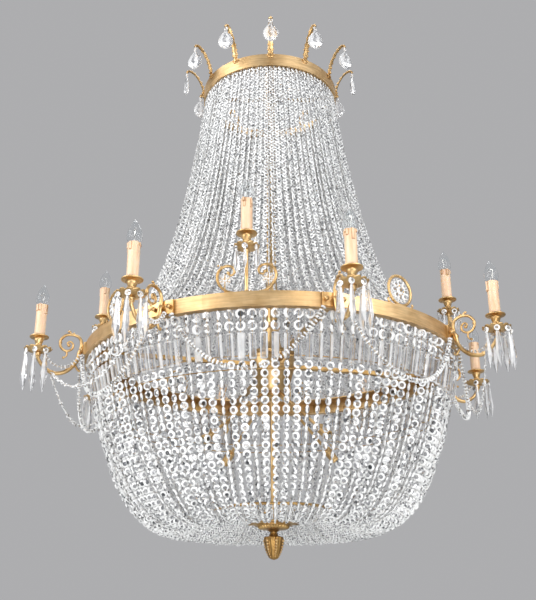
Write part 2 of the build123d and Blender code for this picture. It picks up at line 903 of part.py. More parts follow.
# ---- tent -------------------------------------------------------------------------
def seated(chain_ends, scale, top_radius, foot_radius):
    """A catenary whose round ends just clear the faces above and below them."""
    (top_out, ceiling), (foot_out, floor) = chain_ends
    chain = catenary(scale, (top_out, ceiling), (foot_out, floor))
    for _ in range(3):
        level_top = abs(chain_point(chain, 0.0)[1][0])
        level_foot = abs(chain_point(chain, chain_length(chain))[1][0])
        start = (top_out, ceiling - touch - top_radius * level_top)
        end = (foot_out, floor + touch + foot_radius * level_foot)
        chain = catenary(scale, start, end)
    return chain


def tent_chain(row):
    top_out = crown_radius - tent_top_inset - row * tent_row_step * 0.8
    foot_out = ring_radius - tent_foot_inset - row * tent_row_step
    ends = ((top_out, crown_bottom), (foot_out, ring_top))
    return seated(ends, tent_sag, tent_bead(top_out), tent_bead(foot_out))


def tent_bead(radius):
    pitch = 2 * math.pi * radius / tent_strands
    return min(tent_bead_radius, bead_share * pitch)


def tent():
    strands = []
    for row in (0, 1):
        chain = tent_chain(row)
        one = strand(chain, 0.0, chain_length(chain), 9, tent_bead)
        strands += turned_copies(one, tent_strands, row * 180.0 / tent_strands)
    return strands


# ---- basket ------------------------------------------------------------------------
basket_top_radius = ring_radius - basket_top_inset
bottom_gap = (bottom_ring_bar + touch) / math.sqrt(2)
basket_chain = catenary(
    ring_radius * basket_sag_share,
    (basket_top_radius, ring_bottom - touch),
    (bottom_ring_radius + bottom_gap, bottom_level - bottom_gap),
)
octagon_half = octagon_pitch / 2
prism_half = prism_length / 2 + prism_pin
first_octagon = octagon_half
second_octagon = first_octagon + 2 * octagon_half + touch
prism_middle = second_octagon + octagon_half + touch + prism_half
strand_start = prism_middle + prism_half + touch


def on_chain(shape, distance):
    """Put a shape drawn around the origin on the basket's chain, its face outward."""
    (radius, height), (out, up) = chain_point(basket_chain, distance)
    lean = math.degrees(math.atan2(-out, -up))
    return Pos(radius, 0, height) * (Rot(0, lean, 0) * shape)


def basket_octagons():
    """Two octagons in each strand, on pins that reach their neighbours."""
    pin = Cylinder(pin_wire_radius, 2 * octagon_half)
    bead = gem(octagon_radius, octagon_thickness, 8) + pin
    first = turned_copies(on_chain(bead, first_octagon), basket_strands)
    return first + turned_copies(on_chain(bead, second_octagon), basket_strands)


def basket_prisms():
    """Flat bars with bevelled edges and ends, and a pin at each end."""
    bevel = prism_thickness / 4
    faces = []
    for offset, inset in ((-2 * bevel, bevel), (-bevel, 0), (bevel, 0), (2 * bevel, bevel)):
        plane = Plane((offset, 0, 0), x_dir=(0, 1, 0), z_dir=(1, 0, 0))
        faces.append(plane * Rectangle(prism_width - 2 * inset, prism_length - 2 * inset))
    bar = loft(faces, ruled=True) + Cylinder(pin_wire_radius, 2 * prism_half)
    return turned_copies(on_chain(bar, prism_middle), basket_strands)


def basket_bead(radius):
    pitch = 2 * math.pi * radius / basket_strands
    return min(basket_bead_radius, bead_share * pitch)


def basket():
    """Each strand in linked lengths, end to end down to the bottom ring."""
    whole = chain_length(basket_chain) - strand_start
    lengths = []
    for first, last in zip(basket_ties[:-1], basket_ties[1:]):
        start = strand_start + whole * first + (touch if first > 0 else 0)
        steps = max(3, round(basket_steps * (last - first)))
        one = strand(basket_chain, start, strand_start + whole * last, steps, basket_bead)
        lengths += turned_copies(one, basket_strands)
    return lengths


def behind_chain(distance, below, back):
    """A place behind a piece on the chain: further along it and back from its face."""
    (radius, height), (out, up) = chain_point(basket_chain, distance)
    inward = (up, -out)
    return radius + out * below + inward[0] * back, height + up * below + inward[1] * back


def spacer_rings():
    """Thin wires behind the feet of the prisms and the second beads of the strands."""
    rings = []
    clear = touch + spacer_wire_radius
    for distance, below, back in (
        (prism_middle, prism_length * 0.36, prism_thickness / 2 + clear),
        (strand_start + basket_bead_radius * 2, 0.0, basket_bead_radius + clear),
    ):
        major, height = behind_chain(distance, below, back)
        rings.append(Pos(0, 0, height) * Torus(major, spacer_wire_radius))
    return rings


# ---- bottom -------------------------------------------------------------------------
def bottom_ring():
    return Pos(0, 0, bottom_level) * Torus(bottom_ring_radius, bottom_ring_bar)


def bottom_spider():
    hub = Pos(0, 0, bottom_level) * Cylinder(bottom_hub_radius, bottom_hub_height)
    reach = bottom_ring_radius
    bar = disc(bottom_spoke_radius, reach, (0, 0, bottom_level), (1, 0, 0))
    for place in turned_copies(bar, bottom_spokes, 45.0):
        hub += place
    hub -= Pos(0, 0, bottom_level) * Torus(bottom_ring_radius, bottom_ring_bar + touch)
    inside = Pos(0, 0, bottom_level) * Cylinder(bottom_ring_radius - bottom_ring_bar, 6 * bottom_hub_height)
    hub &= inside
    return hub - Pos(0, 0, bottom_level) * Cylinder(rod_radius + thread_play, 2 * bottom_hub_height)


def bottom_bead(radius):
    pitch = 2 * math.pi * radius / bottom_strands
    return min(tent_bead_radius * 0.85, bead_share * pitch)


def bottom_inner_strands():
    """Short strands from the bottom ring to the dish, between the spider's spokes."""
    first = bottom_ring_radius - bottom_ring_bar - touch
    last = dish_radius * 0.90
    start = (first, bottom_level - bottom_bead(first))
    end = (last, dish_rim + bottom_bead(last) + touch + 0.4)
    chain = catenary(3.0 * (start[0] - end[0]), start, end)
    one = strand(chain, 0.0, chain_length(chain), 4, bottom_bead)
    return turned_copies(one, bottom_strands)


dish_bottom = dish_rim - dish_depth


def bottom_dish():
    """Turned dish with a ring of petals at its rim."""
    bore = rod_radius + thread_play
    body = turned([
        (bore, dish_rim - dish_depth * 0.45),
        (dish_radius * 0.55, dish_rim - dish_depth * 0.40),
        (dish_radius * 0.90, dish_rim),
        (dish_radius, dish_rim),
        (dish_radius, dish_rim - dish_wall),
        (dish_radius * 0.55, dish_rim - dish_depth * 0.80),
        (neck_radius * 1.8, dish_bottom),
        (bore, dish_bottom),
    ])
    petal = Pos(dish_radius, 0, dish_rim - dish_wall / 2) * Box(2 * petal_length, petal_length, dish_wall * 0.6)
    for place in turned_copies(petal, petal_count):
        body += place
    inside = Pos(0, 0, dish_rim) * Cylinder(dish_radius * 0.86, 4 * dish_depth)
    kept = turned([
        (bore, dish_rim - dish_depth * 0.45),
        (dish_radius * 0.55, dish_rim - dish_depth * 0.40),
        (dish_radius * 0.90, dish_rim),
        (dish_radius * 0.90, dish_rim + 40),
        (bore, dish_rim + 40),
    ])
    return body - (inside & kept)


def bottom_rod():
    top = stem_bottom - touch
    return turned([(0, top), (rod_radius, top), (rod_radius, dish_bottom - touch), (0, dish_bottom - touch)])


def finial():
    """Neck and leaf-carved acorn below the dish."""
    neck_foot = dish_bottom - touch - neck_height
    tip = neck_foot - finial_height
    return turned([
        (0, dish_bottom - 2 * touch),
        (neck_radius * 1.5, dish_bottom - 2 * touch),
        (neck_radius, dish_bottom - neck_height * 0.4),
        (neck_radius * 1.1, neck_foot),
        (finial_radius * 0.86, neck_foot - finial_height * 0.06),
        (finial_radius, neck_foot - finial_height * 0.22),
        (finial_radius * 0.94, neck_foot - finial_height * 0.48),
        (finial_radius * 0.68, neck_foot - finial_height * 0.78),
        (finial_radius * 0.30, neck_foot - finial_height * 0.96),
        (0, tip),
    ])


# ---- garlands ------------------------------------------------------------------------
def sag_scale(half_span, sag):
    """Scale of the catenary with a given half span and sag."""
    low, high = half_span / 20, half_span * 50
    for _ in range(80):
        middle = (low + high) / 2
        if middle * (math.cosh(half_span / middle) - 1) > sag:
            low = middle
        else:
            high = middle
    return (low + high) / 2


def hanging(half_span, sag, top, count):
    """Offsets along the span with their heights, evenly spaced along the chain."""
    scale = sag_scale(half_span, sag)
    reach = math.sinh(half_span / scale)
    offsets = []
    for i in range(count + 1):
        share = 2.0 * i / count - 1.0
        along = scale * math.asinh(share * reach)
        offsets.append((along, top - sag + scale * (math.cosh(along / scale) - 1)))
    return offsets


def ring_festoon():
    """Bead string around a bay of the ring, from bracket to bracket, outside the basket."""
    radius = ring_radius + festoon_reach
    half = math.pi / arm_count - (knob_offset + bracket_width * 0.10) / ring_radius
    level = 1 / math.cosh(radius * half / sag_scale(radius * half, ring_festoon_sag))
    top = ring_level - bracket_height / 2 - touch - garland_radius * level
    points = []
    for along, height in hanging(radius * half, ring_festoon_sag, top, 12):
        turn = along / radius
        points.append((radius * math.cos(turn), radius * math.sin(turn), height))
    return tube(points, garland_radius, 18.0)


festoon_foot = arm_radius - festoon_foot_inset


def outer_festoon():
    """Bead string between two arms, hooked to their sides at their lowest part."""
    half = math.pi / arm_count
    steep = math.tanh(festoon_foot * math.sin(half) / sag_scale(festoon_foot * math.sin(half), outer_festoon_sag))
    side = arm_tube_radius + touch + garland_radius * steep
    reach = festoon_foot * math.sin(half) - side / math.cos(half)
    out = festoon_foot * math.cos(half)
    points = [(out, along, height) for along, height in hanging(reach, outer_festoon_sag, arm_low, 10)]
    return tube(points, garland_radius, 18.0)


def arm_string():
    """Bead string beside an arm, from under its pan to its bracket."""
    inner = bracket_face + touch + garland_radius
    outer = arm_radius - arm_string_inset
    middle = (inner + outer) / 2
    half = (outer - inner) / 2
    side = arm_tube_radius + touch + garland_radius
    level = 1 / math.cosh(half / sag_scale(half, arm_string_sag))
    top = pan_level - pan_depth - touch - garland_radius * level
    points = [(middle + along, side, height) for along, height in hanging(half, arm_string_sag, top, 8)]
    return tube(points, garland_radius * 0.9, 7.0)


def bead_garlands():
    bay = 360.0 / arm_count
    strings = turned_copies(ring_festoon(), arm_count, bay / 2)
    strings += turned_copies(arm_string(), arm_count)
    outer = outer_festoon()
    strings += [Rot(0, 0, bay * (i + 0.5)) * outer for i in outer_festoon_bays]
    return strings


# ---- inner lamps ----------------------------------------------------------------------
lamp_start = (lamp_arm_start, bowl_bottom)
lamp_end = (lamp_reach, ring_level - lamp_drop)
lamp_way = math.hypot(lamp_end[0] - lamp_start[0], lamp_end[1] - lamp_start[1])
lamp_direction = ((lamp_end[0] - lamp_start[0]) / lamp_way, 0, (lamp_end[1] - lamp_start[1]) / lamp_way)


def along_lamp(distance):
    return Vector(lamp_start[0], 0, lamp_start[1]) + Vector(*lamp_direction) * distance


def on_lamp_axis(shape, distance):
    """Put a shape drawn upward from the origin at a place on the lamp's axis."""
    place = Plane(along_lamp(distance), z_dir=lamp_direction)
    return place.location * shape


def inner_lamp_arm():
    bar = disc(lamp_arm_radius, lamp_way - lamp_holder_length / 2, along_lamp(0), lamp_direction)
    clear = Pos(0, 0, bowl_bottom + bowl_depth) * Cylinder(3 * drum_radius, 2 * bowl_depth)
    return bar - Pos(0, 0, -touch) * clear - Pos(0, 0, bowl_tip) * Cylinder(bowl_tip_radius + touch, 4 * bowl_tip_height)


def lamp_parts():
    """Holder, cap, stem and glass of an inner lamp, from its arm outward."""
    bore = cap_radius + touch
    holder = turned([
        (0, 0),
        (lamp_holder_radius, 0),
        (lamp_holder_radius, lamp_holder_length),
        (bore, lamp_holder_length),
        (bore, lamp_holder_length - cap_length),
        (0, lamp_holder_length - cap_length),
    ])
    drop = lamp_way - lamp_holder_length / 2 + touch
    return on_lamp_axis(holder, drop), drop + lamp_holder_length


inner_holder, holder_mouth = lamp_parts()
lamp_shift = holder_mouth - (bulb_seat - 6)


def inner_lamp(shape):
    return turned_copies(on_lamp_axis(shape, lamp_shift), lamp_count, lamp_turn)


# ---- writing --------------------------------------------------------------------------
outer_turns = [(i - (pan_drops - 1) / 2) * pan_drop_turn for i in range(pan_drops)]
small_turns = [i * 360.0 / small_pan_drops for i in range(small_pan_drops)]
big_buttons, big_spears = pan_drops_for(pan_radius, outer_turns, spear_length, spear_radius)
small_buttons, small_spears = pan_drops_for(small_pan_radius, small_turns, small_spear_length, small_spear_radius)


def spread(pieces, place):
    placed = []
    for piece in pieces:
        placed += place(piece)
    return placed


save("suspension_eye", suspension_eye())
save("stem_head", stem_head())
save("clevis_pin", clevis_pin())
save("stem_tube", stem_tube())
save("crown_spider", crown_spider())
save("crown_ring", crown_ring())
save("crown_leaf_brackets", turned_copies(leaf_bracket(), leaf_count, leaf_turn))
save("fixing_screws", fixing_screws())
for number, drop in enumerate([Rot(0, 0, leaf_turn + i * 360.0 / leaf_count) for i in range(leaf_count)]):
    save("crown_drop_%02d" % (number + 1), [drop * piece for piece in crown_drop()])
save("tent_strands", tent())
save("main_ring", main_ring())
save("ring_splices", ring_splices())
save("hub_bell", hub_bell())
save("hub_plate", hub_plate())
save("hub_bowl", hub_bowl())
save("hub_spokes", hub_spokes())
save("arm_brackets", arm_brackets())
save("arm_knobs", arm_knobs())
save("candle_arms", turned_copies(arm_bar() + arm_foot(), arm_count))
save("arm_scrolls", turned_copies(arm_scroll(), arm_count))
save("drip_pans", at_arms(drip_pan(pan_radius)))
save("upright_pans", at_uprights(drip_pan(small_pan_radius)))
save("candle_cups", at_all_candles(candle_cup()))
save("candle_sleeves", at_all_candles(candle_sleeve()))
save("lamp_holders", at_all_candles(lamp_holder()))
save("bulb_caps", at_all_candles(bulb_cap()) + inner_lamp(bulb_cap()))
save("bulb_glasses", at_all_candles(bulb_glass()) + inner_lamp(bulb_glass()))
save("bulb_stems", at_all_candles(bulb_stem()) + inner_lamp(bulb_stem()))
save("pan_buttons", spread(big_buttons, at_arms) + spread(small_buttons, at_uprights))
save("pan_spears", spread(big_spears, at_arms) + spread(small_spears, at_uprights))
save("upright_stems", turned_copies(upright_stem(), upright_count, upright_turn))
save("lyre_scrolls", lyre_scrolls())
save("wreaths", wreaths())
save("crystal_rosettes", crystal_rosettes())
save("bead_garlands", bead_garlands())
save("basket_octagons", basket_octagons())
save("basket_prisms", basket_prisms())
save("basket_strands", basket())
save("spacer_rings", spacer_rings())
save("bottom_ring", bottom_ring())
save("bottom_spider", bottom_spider())
save("bottom_strands", bottom_inner_strands())
save("bottom_rod", bottom_rod())
save("bottom_dish", bottom_dish())
save("finial", finial())
save("inner_lamp_arms", turned_copies(inner_lamp_arm(), lamp_count, lamp_turn))
save("inner_lamp_holders", turned_copies(inner_holder, lamp_count, lamp_turn))
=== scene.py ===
import bpy
import math
import numpy as np
from mathutils import Matrix


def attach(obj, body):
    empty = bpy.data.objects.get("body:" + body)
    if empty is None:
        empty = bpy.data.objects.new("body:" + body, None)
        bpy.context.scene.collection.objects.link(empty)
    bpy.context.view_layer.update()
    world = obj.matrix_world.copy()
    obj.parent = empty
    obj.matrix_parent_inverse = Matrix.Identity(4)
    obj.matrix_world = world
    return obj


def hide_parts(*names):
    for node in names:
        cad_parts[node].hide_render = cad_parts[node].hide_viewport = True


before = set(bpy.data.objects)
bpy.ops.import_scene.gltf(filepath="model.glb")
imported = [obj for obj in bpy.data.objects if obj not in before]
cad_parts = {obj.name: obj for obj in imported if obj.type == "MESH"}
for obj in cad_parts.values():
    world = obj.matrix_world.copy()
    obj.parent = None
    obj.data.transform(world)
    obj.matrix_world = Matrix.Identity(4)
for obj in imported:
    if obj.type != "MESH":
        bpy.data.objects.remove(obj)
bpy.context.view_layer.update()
RNG = np.random.default_rng(7)
MM = 0.001
TAU = 2 * math.pi

# ---------------------------------------------------------------- sizes, as the solids have them (mm)
TOUCH = 0.3
CROWN_R, CROWN_BOTTOM = 200.0, -172.5
TIP_R, TIP_Z = 255.0, -53.5
RING_R, RING_TOP, RING_BOTTOM, RING_Z = 497.0, -982.5, -1017.5, -1000.0
BRACKET = 502.3
ARM_R, ARM_LOW = 612.0, -1063.0
PAN_Z = -1004.0
UP_R, UP_PAN_Z, UP_TURN = 479.0, -868.5, 67.5
BOTTOM_Z, BOTTOM_R = RING_Z - RING_R * 0.7787, RING_R * 0.298
DISH_RIM, DISH_R = BOTTOM_Z - 27.0, 56.0
GARLAND = 5.5
ARMS, UPRIGHTS, LEAF_COUNT = 8, 4, 12
TENT_COUNT, BASKET_COUNT, BOTTOM_COUNT = 96, 120, 60
SLEEVE_LENGTH, SLEEVE_R, BULB_HEIGHT = 85.0, 13.4, 58.0
PAN_R, UP_PAN_R = 35.0, 30.0
HALF_BAY = 180.0 / ARMS     # degrees from an arm to the middle of the bay beside it


# ---------------------------------------------------------------- materials
def nodes_of(name):
    m = bpy.data.materials.new(name)
    m.use_nodes = True
    nt = m.node_tree
    nt.nodes.clear()
    out = nt.nodes.new("ShaderNodeOutputMaterial")
    bsdf = nt.nodes.new("ShaderNodeBsdfPrincipled")
    nt.links.new(bsdf.outputs[0], out.inputs[0])
    return m, nt, bsdf


def noise(nt, scale, detail=3.0, stretch=None, rough=0.55):
    tc = nt.nodes.new("ShaderNodeTexCoord")
    n = nt.nodes.new("ShaderNodeTexNoise")
    n.inputs["Scale"].default_value = scale
    n.inputs["Detail"].default_value = detail
    n.inputs["Roughness"].default_value = rough
    src = tc.outputs["Object"]
    if stretch:
        mp = nt.nodes.new("ShaderNodeMapping")
        mp.inputs["Scale"].default_value = stretch
        nt.links.new(src, mp.inputs["Vector"])
        src = mp.outputs["Vector"]
    nt.links.new(src, n.inputs["Vector"])
    return n


def ramp(nt, src, stops):
    r = nt.nodes.new("ShaderNodeValToRGB")
    e = r.color_ramp.elements
    while len(e) > len(stops):
        e.remove(e[-1])
    while len(e) < len(stops):
        e.new(0.5)
    for el, (p, c) in zip(e, stops):
        el.position = p
        el.color = c if len(c) == 4 else (*c, 1)
    nt.links.new(src, r.inputs["Fac"])
    return r


def span(nt, src, lo, hi):
    m = nt.nodes.new("ShaderNodeMapRange")
    m.inputs["To Min"].default_value = lo
    m.inputs["To Max"].default_value = hi
    nt.links.new(src, m.inputs["Value"])
    return m


def bump(nt, bsdf, src, dist, strength=0.4):
    b = nt.nodes.new("ShaderNodeBump")
    b.inputs["Distance"].default_value = dist
    b.inputs["Strength"].default_value = strength
    nt.links.new(src, b.inputs["Height"])
    nt.links.new(b.outputs[0], bsdf.inputs["Normal"])


def brass(name, light, dark, r_lo=0.2, r_hi=0.42, lines=None, bumpy=0.00012):
    """Satin brass: tone clouds, fine grain, and drawn lines round the turned bands."""
    m, nt, b = nodes_of(name)
    b.inputs["Metallic"].default_value = 1.0
    tone = noise(nt, 22.0, 5.0)
    bright = tuple(min(1, v * 1.1) for v in light)
    c = ramp(nt, tone.outputs["Fac"], [(0.30, dark), (0.62, light), (1.0, bright)])
    colour = c.outputs["Color"]
    fine = noise(nt, 150.0, 4.0, lines)
    if lines:
        mix = nt.nodes.new("ShaderNodeMix")
        mix.data_type = "RGBA"
        mix.blend_type = "MULTIPLY"
        mix.inputs["Factor"].default_value = 0.6
        line = ramp(nt, fine.outputs["Fac"], [(0.35, (0.62, 0.58, 0.52)), (0.60, (1.0, 1.0, 1.0))])
        nt.links.new(colour, mix.inputs["A"])
        nt.links.new(line.outputs["Color"], mix.inputs["B"])
        colour = mix.outputs["Result"]
    nt.links.new(colour, b.inputs["Base Color"])
    nt.links.new(span(nt, fine.outputs["Fac"], r_lo, r_hi).outputs[0], b.inputs["Roughness"])
    bump(nt, b, fine.outputs["Fac"], bumpy, 0.35)
    return m


GILT = brass("gilt brass", (0.74, 0.51, 0.25), (0.46, 0.28, 0.11), 0.26, 0.46)
BAND = brass("brushed gilt band", (0.76, 0.54, 0.29), (0.60, 0.39, 0.18), 0.36, 0.52,
             (0.12, 0.12, 2.4), 0.0003)
AGED = brass("aged brass", (0.60, 0.39, 0.16), (0.34, 0.20, 0.07), 0.26, 0.5)
DARK = brass("dark antique brass", (0.46, 0.27, 0.09), (0.15, 0.08, 0.025), 0.28, 0.5, None, 0.0002)
STEEL = brass("zinc plated steel", (0.62, 0.60, 0.56), (0.40, 0.38, 0.35), 0.25, 0.45)
NICKEL = brass("nickel cap", (0.80, 0.78, 0.73), (0.62, 0.60, 0.55), 0.15, 0.3)


def crystal(name, low, high, clear, rough, ior=1.54, scale=70.0):
    """Cut glass: `clear` of it is transmitted, the rest is colour painted on its facets, white as a painted
    glint and dark as a painted reflection.
    """
    m, nt, b = nodes_of(name)
    b.inputs["Transmission Weight"].default_value = clear
    b.inputs["IOR"].default_value = ior
    n = noise(nt, scale, 2.0)
    c = ramp(nt, n.outputs["Fac"], [(0.38, low), (0.62, high)])
    nt.links.new(c.outputs["Color"], b.inputs["Base Color"])
    nt.links.new(span(nt, n.outputs["Fac"], rough[0], rough[1]).outputs[0], b.inputs["Roughness"])
    return m


# Painted highlight: the white of these bead facets is a painted glint, not the colour of the glass.
PAINTED_GLINT = crystal("bead facets painted glint", (0.88, 0.88, 0.88), (1.0, 1.0, 0.99), 0.16, (0.05, 0.22))
TABLE = crystal("bead table", (0.66, 0.67, 0.69), (0.98, 0.98, 0.99), 0.86, (0.0, 0.06))
# Painted reflection: these near-black facets stand in for the dark surroundings reflected in clear crystal.
PAINTED_DARK = crystal("bead painted dark reflection", (0.12, 0.13, 0.14), (0.42, 0.43, 0.45), 0.94, (0.0, 0.08))
CRYSTAL = (PAINTED_GLINT, TABLE, PAINTED_DARK)
FACE = crystal("prism face", (0.60, 0.61, 0.63), (0.97, 0.97, 0.98), 0.84, (0.0, 0.05))
# Painted highlight: the white of the prism bevels is a painted glint on clear glass.
PAINTED_BEVEL_GLINT = crystal("prism bevel painted glint", (0.84, 0.84, 0.85), (1.0, 1.0, 1.0), 0.50, (0.02, 0.16))
BAR = (PAINTED_BEVEL_GLINT, FACE)
BULB = crystal("clear bulb glass", (0.94, 0.96, 0.97), (1.0, 1.0, 1.0), 1.0, (0.0, 0.02), 1.14)


def wax(name, low, high):
    m, nt, b = nodes_of(name)
    b.inputs["Subsurface Weight"].default_value = 0.25
    b.inputs["Subsurface Radius"].default_value = (0.006, 0.004, 0.002)
    b.inputs["Roughness"].default_value = 0.42
    n = noise(nt, 90.0, 4.0, (1.0, 1.0, 0.16))
    c = ramp(nt, n.outputs["Fac"], [(0.32, low), (0.62, high)])
    nt.links.new(c.outputs["Color"], b.inputs["Base Color"])
    bump(nt, b, n.outputs["Fac"], 0.0005, 0.4)
    return m


WAX = wax("cream candle sleeve", (0.68, 0.44, 0.27), (0.83, 0.60, 0.41))
# Painted shadow: this dark brown stands in for the shade round the flanks and ends of the wax drips.
DRIP_PAINTED_SHADOW = wax("wax drip painted shadow", (0.32, 0.16, 0.07), (0.52, 0.30, 0.15))


def plastic():
    m, nt, b = nodes_of("black lamp holder")
    n = noise(nt, 220.0, 2.0)
    c = ramp(nt, n.outputs["Fac"], [(0.3, (0.02, 0.02, 0.02)), (0.8, (0.05, 0.05, 0.05))])
    nt.links.new(c.outputs["Color"], b.inputs["Base Color"])
    nt.links.new(span(nt, n.outputs["Fac"], 0.35, 0.55).outputs[0], b.inputs["Roughness"])
    return m


BLACK = plastic()

keep = {
    "suspension_eye": DARK, "stem_head": AGED, "clevis_pin": STEEL, "stem_tube": GILT, "crown_spider": AGED,
    "crown_ring": BAND, "main_ring": BAND, "ring_splices": AGED, "hub_plate": GILT, "hub_spokes": AGED,
    "fixing_screws": GILT, "arm_brackets": GILT, "arm_knobs": GILT, "upright_stems": GILT,
    "spacer_rings": AGED,
    "bottom_ring": AGED, "bottom_spider": AGED, "bottom_rod": GILT, "inner_lamp_arms": GILT,
    "lamp_holders": BLACK, "bulb_caps": NICKEL, "bulb_stems": BULB,
}
for node, mat in keep.items():
    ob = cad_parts[node]
    ob.data.materials.clear()
    ob.data.materials.append(mat)


# ---------------------------------------------------------------- mesh helpers (all points in mm)
def piece(name, verts, faces, mat, slot, body="chandelier", nodes=(), smooth=False, finish=None):
    me = bpy.data.meshes.new(name)
    v = np.asarray(verts, dtype=float) * MM
    me.from_pydata(v.tolist(), [], faces)
    for m in mat if isinstance(mat, tuple) else (mat,):
        me.materials.append(m)
    if isinstance(mat, tuple):
        me.polygons.foreach_set("material_index", finish)
    if smooth:
        me.polygons.foreach_set("use_smooth", [True] * len(me.polygons))
    ob = bpy.data.objects.new(name, me)
    bpy.context.scene.collection.objects.link(ob)
    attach(ob, body)
    if nodes:
        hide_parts(*nodes)
    return ob


def painted_sparkle(faces, copies=1):
    """Finish of each facet: most get the painted white glint, some are clear, some get the painted dark
    reflection; the two tables never get the painted glint.
    """
    pick = RNG.choice(3, (copies, faces), p=(0.78, 0.17, 0.05))
    pick[:, -2:] = RNG.choice((1, 2), (copies, 2), p=(0.86, 0.14))
    return pick.ravel().tolist()


class Heap:
    """Many small shapes gathered into one mesh."""

    def __init__(self):
        self.v, self.f, self.n, self.m = [], [], 0, []

    def add(self, verts, faces, mat=None, marks=None):
        v = np.asarray(verts, dtype=float)
        if mat is not None:
            v = v @ np.asarray(mat)[:3, :3].T + np.asarray(mat)[:3, 3]
        self.v.append(v)
        self.f.extend([[i + self.n for i in f] for f in faces])
        # Without marks, the side faces take slot 0 (for cut glass, the painted white glint) and the two caps
        # take slot 1.
        self.m += marks or [0] * (len(faces) - 2) + [1, 1]
        self.n += len(v)

    def many(self, verts, faces, mats):
        """Copies of one shape at many 4x4 places."""
        mats = np.asarray(mats)
        v = np.einsum("kij,nj->kni", mats[:, :3, :3], verts) + mats[:, None, :3, 3]
        for k in range(len(mats)):
            o = self.n + k * len(verts)
            self.f.extend([[i + o for i in f] for f in faces])
        self.m += painted_sparkle(len(faces), len(mats))
        self.v.append(v.reshape(-1, 3))
        self.n += len(mats) * len(verts)

    def make(self, *a, **k):
        return piece(a[0], np.concatenate(self.v), self.f, *a[1:], finish=self.m, **k)


def rings_mesh(rings, cap=True):
    """Closed tube of equal rings; each ring is a list of points."""
    k = len(rings[0])
    v = np.concatenate([np.asarray(r, dtype=float) for r in rings])
    f = []
    for i in range(len(rings) - 1):
        for j in range(k):
            a, b = i * k + j, i * k + (j + 1) % k
            f.append([a, b, b + k, a + k])
    if cap:
        f.append(list(range(k))[::-1])
        f.append([(len(rings) - 1) * k + j for j in range(k)])
    return v, f


def gem_shape(r, t, sides=8, table=0.55, mid=0.12):
    """Cut bead: axis along X, in the plane of Y and Z, threaded along Z."""
    a = (np.arange(sides) + 0.5) * TAU / sides
    rings = []
    for x, q in ((-t / 2, table), (-t * mid, 1.0), (t * mid, 1.0), (t / 2, table)):
        rings.append(np.stack([np.full(sides, x), q * r * np.cos(a), q * r * np.sin(a)], 1))
    return rings_mesh(rings)


def spear_shape(length, r, sides=6, depth=0.72, waist=0.64):
    a = np.arange(sides) * TAU / sides
    rings = []
    for z, q in ((0, 0.30), (-0.03, 0.42), (-waist, 1.0), (-0.97, 0.10), (-1.0, 0.03)):
        rings.append(np.stack([q * r * depth * np.cos(a), q * r * np.sin(a), np.full(sides, z * length)], 1))
    return rings_mesh(rings[::-1])


def almond_shape(length, width, thick):
    """Faceted pear drop hung from its top at the origin; its broad side faces X."""
    prof = ((0.0, 0.12), (0.10, 0.30), (0.26, 0.64), (0.42, 0.90),
            (0.58, 1.0), (0.74, 0.94), (0.89, 0.64), (1.0, 0.16))
    k = 14
    v, f = [], []
    for i, (z, q) in enumerate(prof):
        for j in range(k):
            a = (j + 0.5 * (i % 2)) * TAU / k
            c, s = math.cos(a), math.sin(a)
            bulge = abs(c) ** 0.8 * (1 if c > 0 else -1)
            v.append((bulge * thick / 2 * min(1.0, q * 1.1), s * width / 2 * q, -z * length))
    for i in range(len(prof) - 1):
        for j in range(k):
            a, b = i * k + j, i * k + (j + 1) % k
            c, d = a + k, b + k
            if i % 2 == 0:
                f += [[a, c, b], [b, c, d]]
            else:
                f += [[a, c, d], [a, d, b]]
    f.append(list(range(k)))
    f.append([(len(prof) - 1) * k + j for j in range(k)][::-1])
    return np.array(v), f


def ball(r, n=10, m=6):
    rings = []
    for i in range(1, m):
        t = math.pi * i / m
        a = np.arange(n) * TAU / n
        w = r * math.sin(t)
        rings.append(np.stack([w * np.cos(a), w * np.sin(a), np.full(n, r * math.cos(t))], 1))
    v, f = rings_mesh(rings, cap=False)
    top, bottom = len(v), len(v) + 1
    v = np.concatenate([v, [[0, 0, r], [0, 0, -r]]])
    for j in range(n):
        f.append([top, (j + 1) % n, j])
        f.append([bottom, (m - 2) * n + j, (m - 2) * n + (j + 1) % n])
    return v, [x[::-1] for x in f]


def lathe(profile, n=48, smooth=0, fn=None):
    """Turned shape from (radius, height) points; fn(angle, i, r, z) may carve it."""
    p = soften(profile, smooth) if smooth else np.asarray(profile, dtype=float)
    a = np.arange(n) * TAU / n
    rings = []
    for i, (r, z) in enumerate(p):
        rr, zz = np.full(n, max(r, 0.02)), np.full(n, z)
        if fn:
            rr, zz = fn(a, i / (len(p) - 1), rr, zz)
        rings.append(np.stack([rr * np.cos(a), rr * np.sin(a), zz], 1))
    return rings_mesh(rings)


def soften(points, per=6):
    """Catmull-Rom curve through the points."""
    p = np.asarray(points, dtype=float)
    q = np.concatenate([[2 * p[0] - p[1]], p, [2 * p[-1] - p[-2]]])
    out = []
    for i in range(len(p) - 1):
        a, b, c, d = q[i], q[i + 1], q[i + 2], q[i + 3]
        for t in np.arange(per) / per:
            square, cube = 2 * a - 5 * b + 4 * c - d, 3 * b - a - 3 * c + d
            out.append(0.5 * (2 * b + (c - a) * t + square * t * t + cube * t ** 3))
    out.append(p[-1])
    return np.array(out)


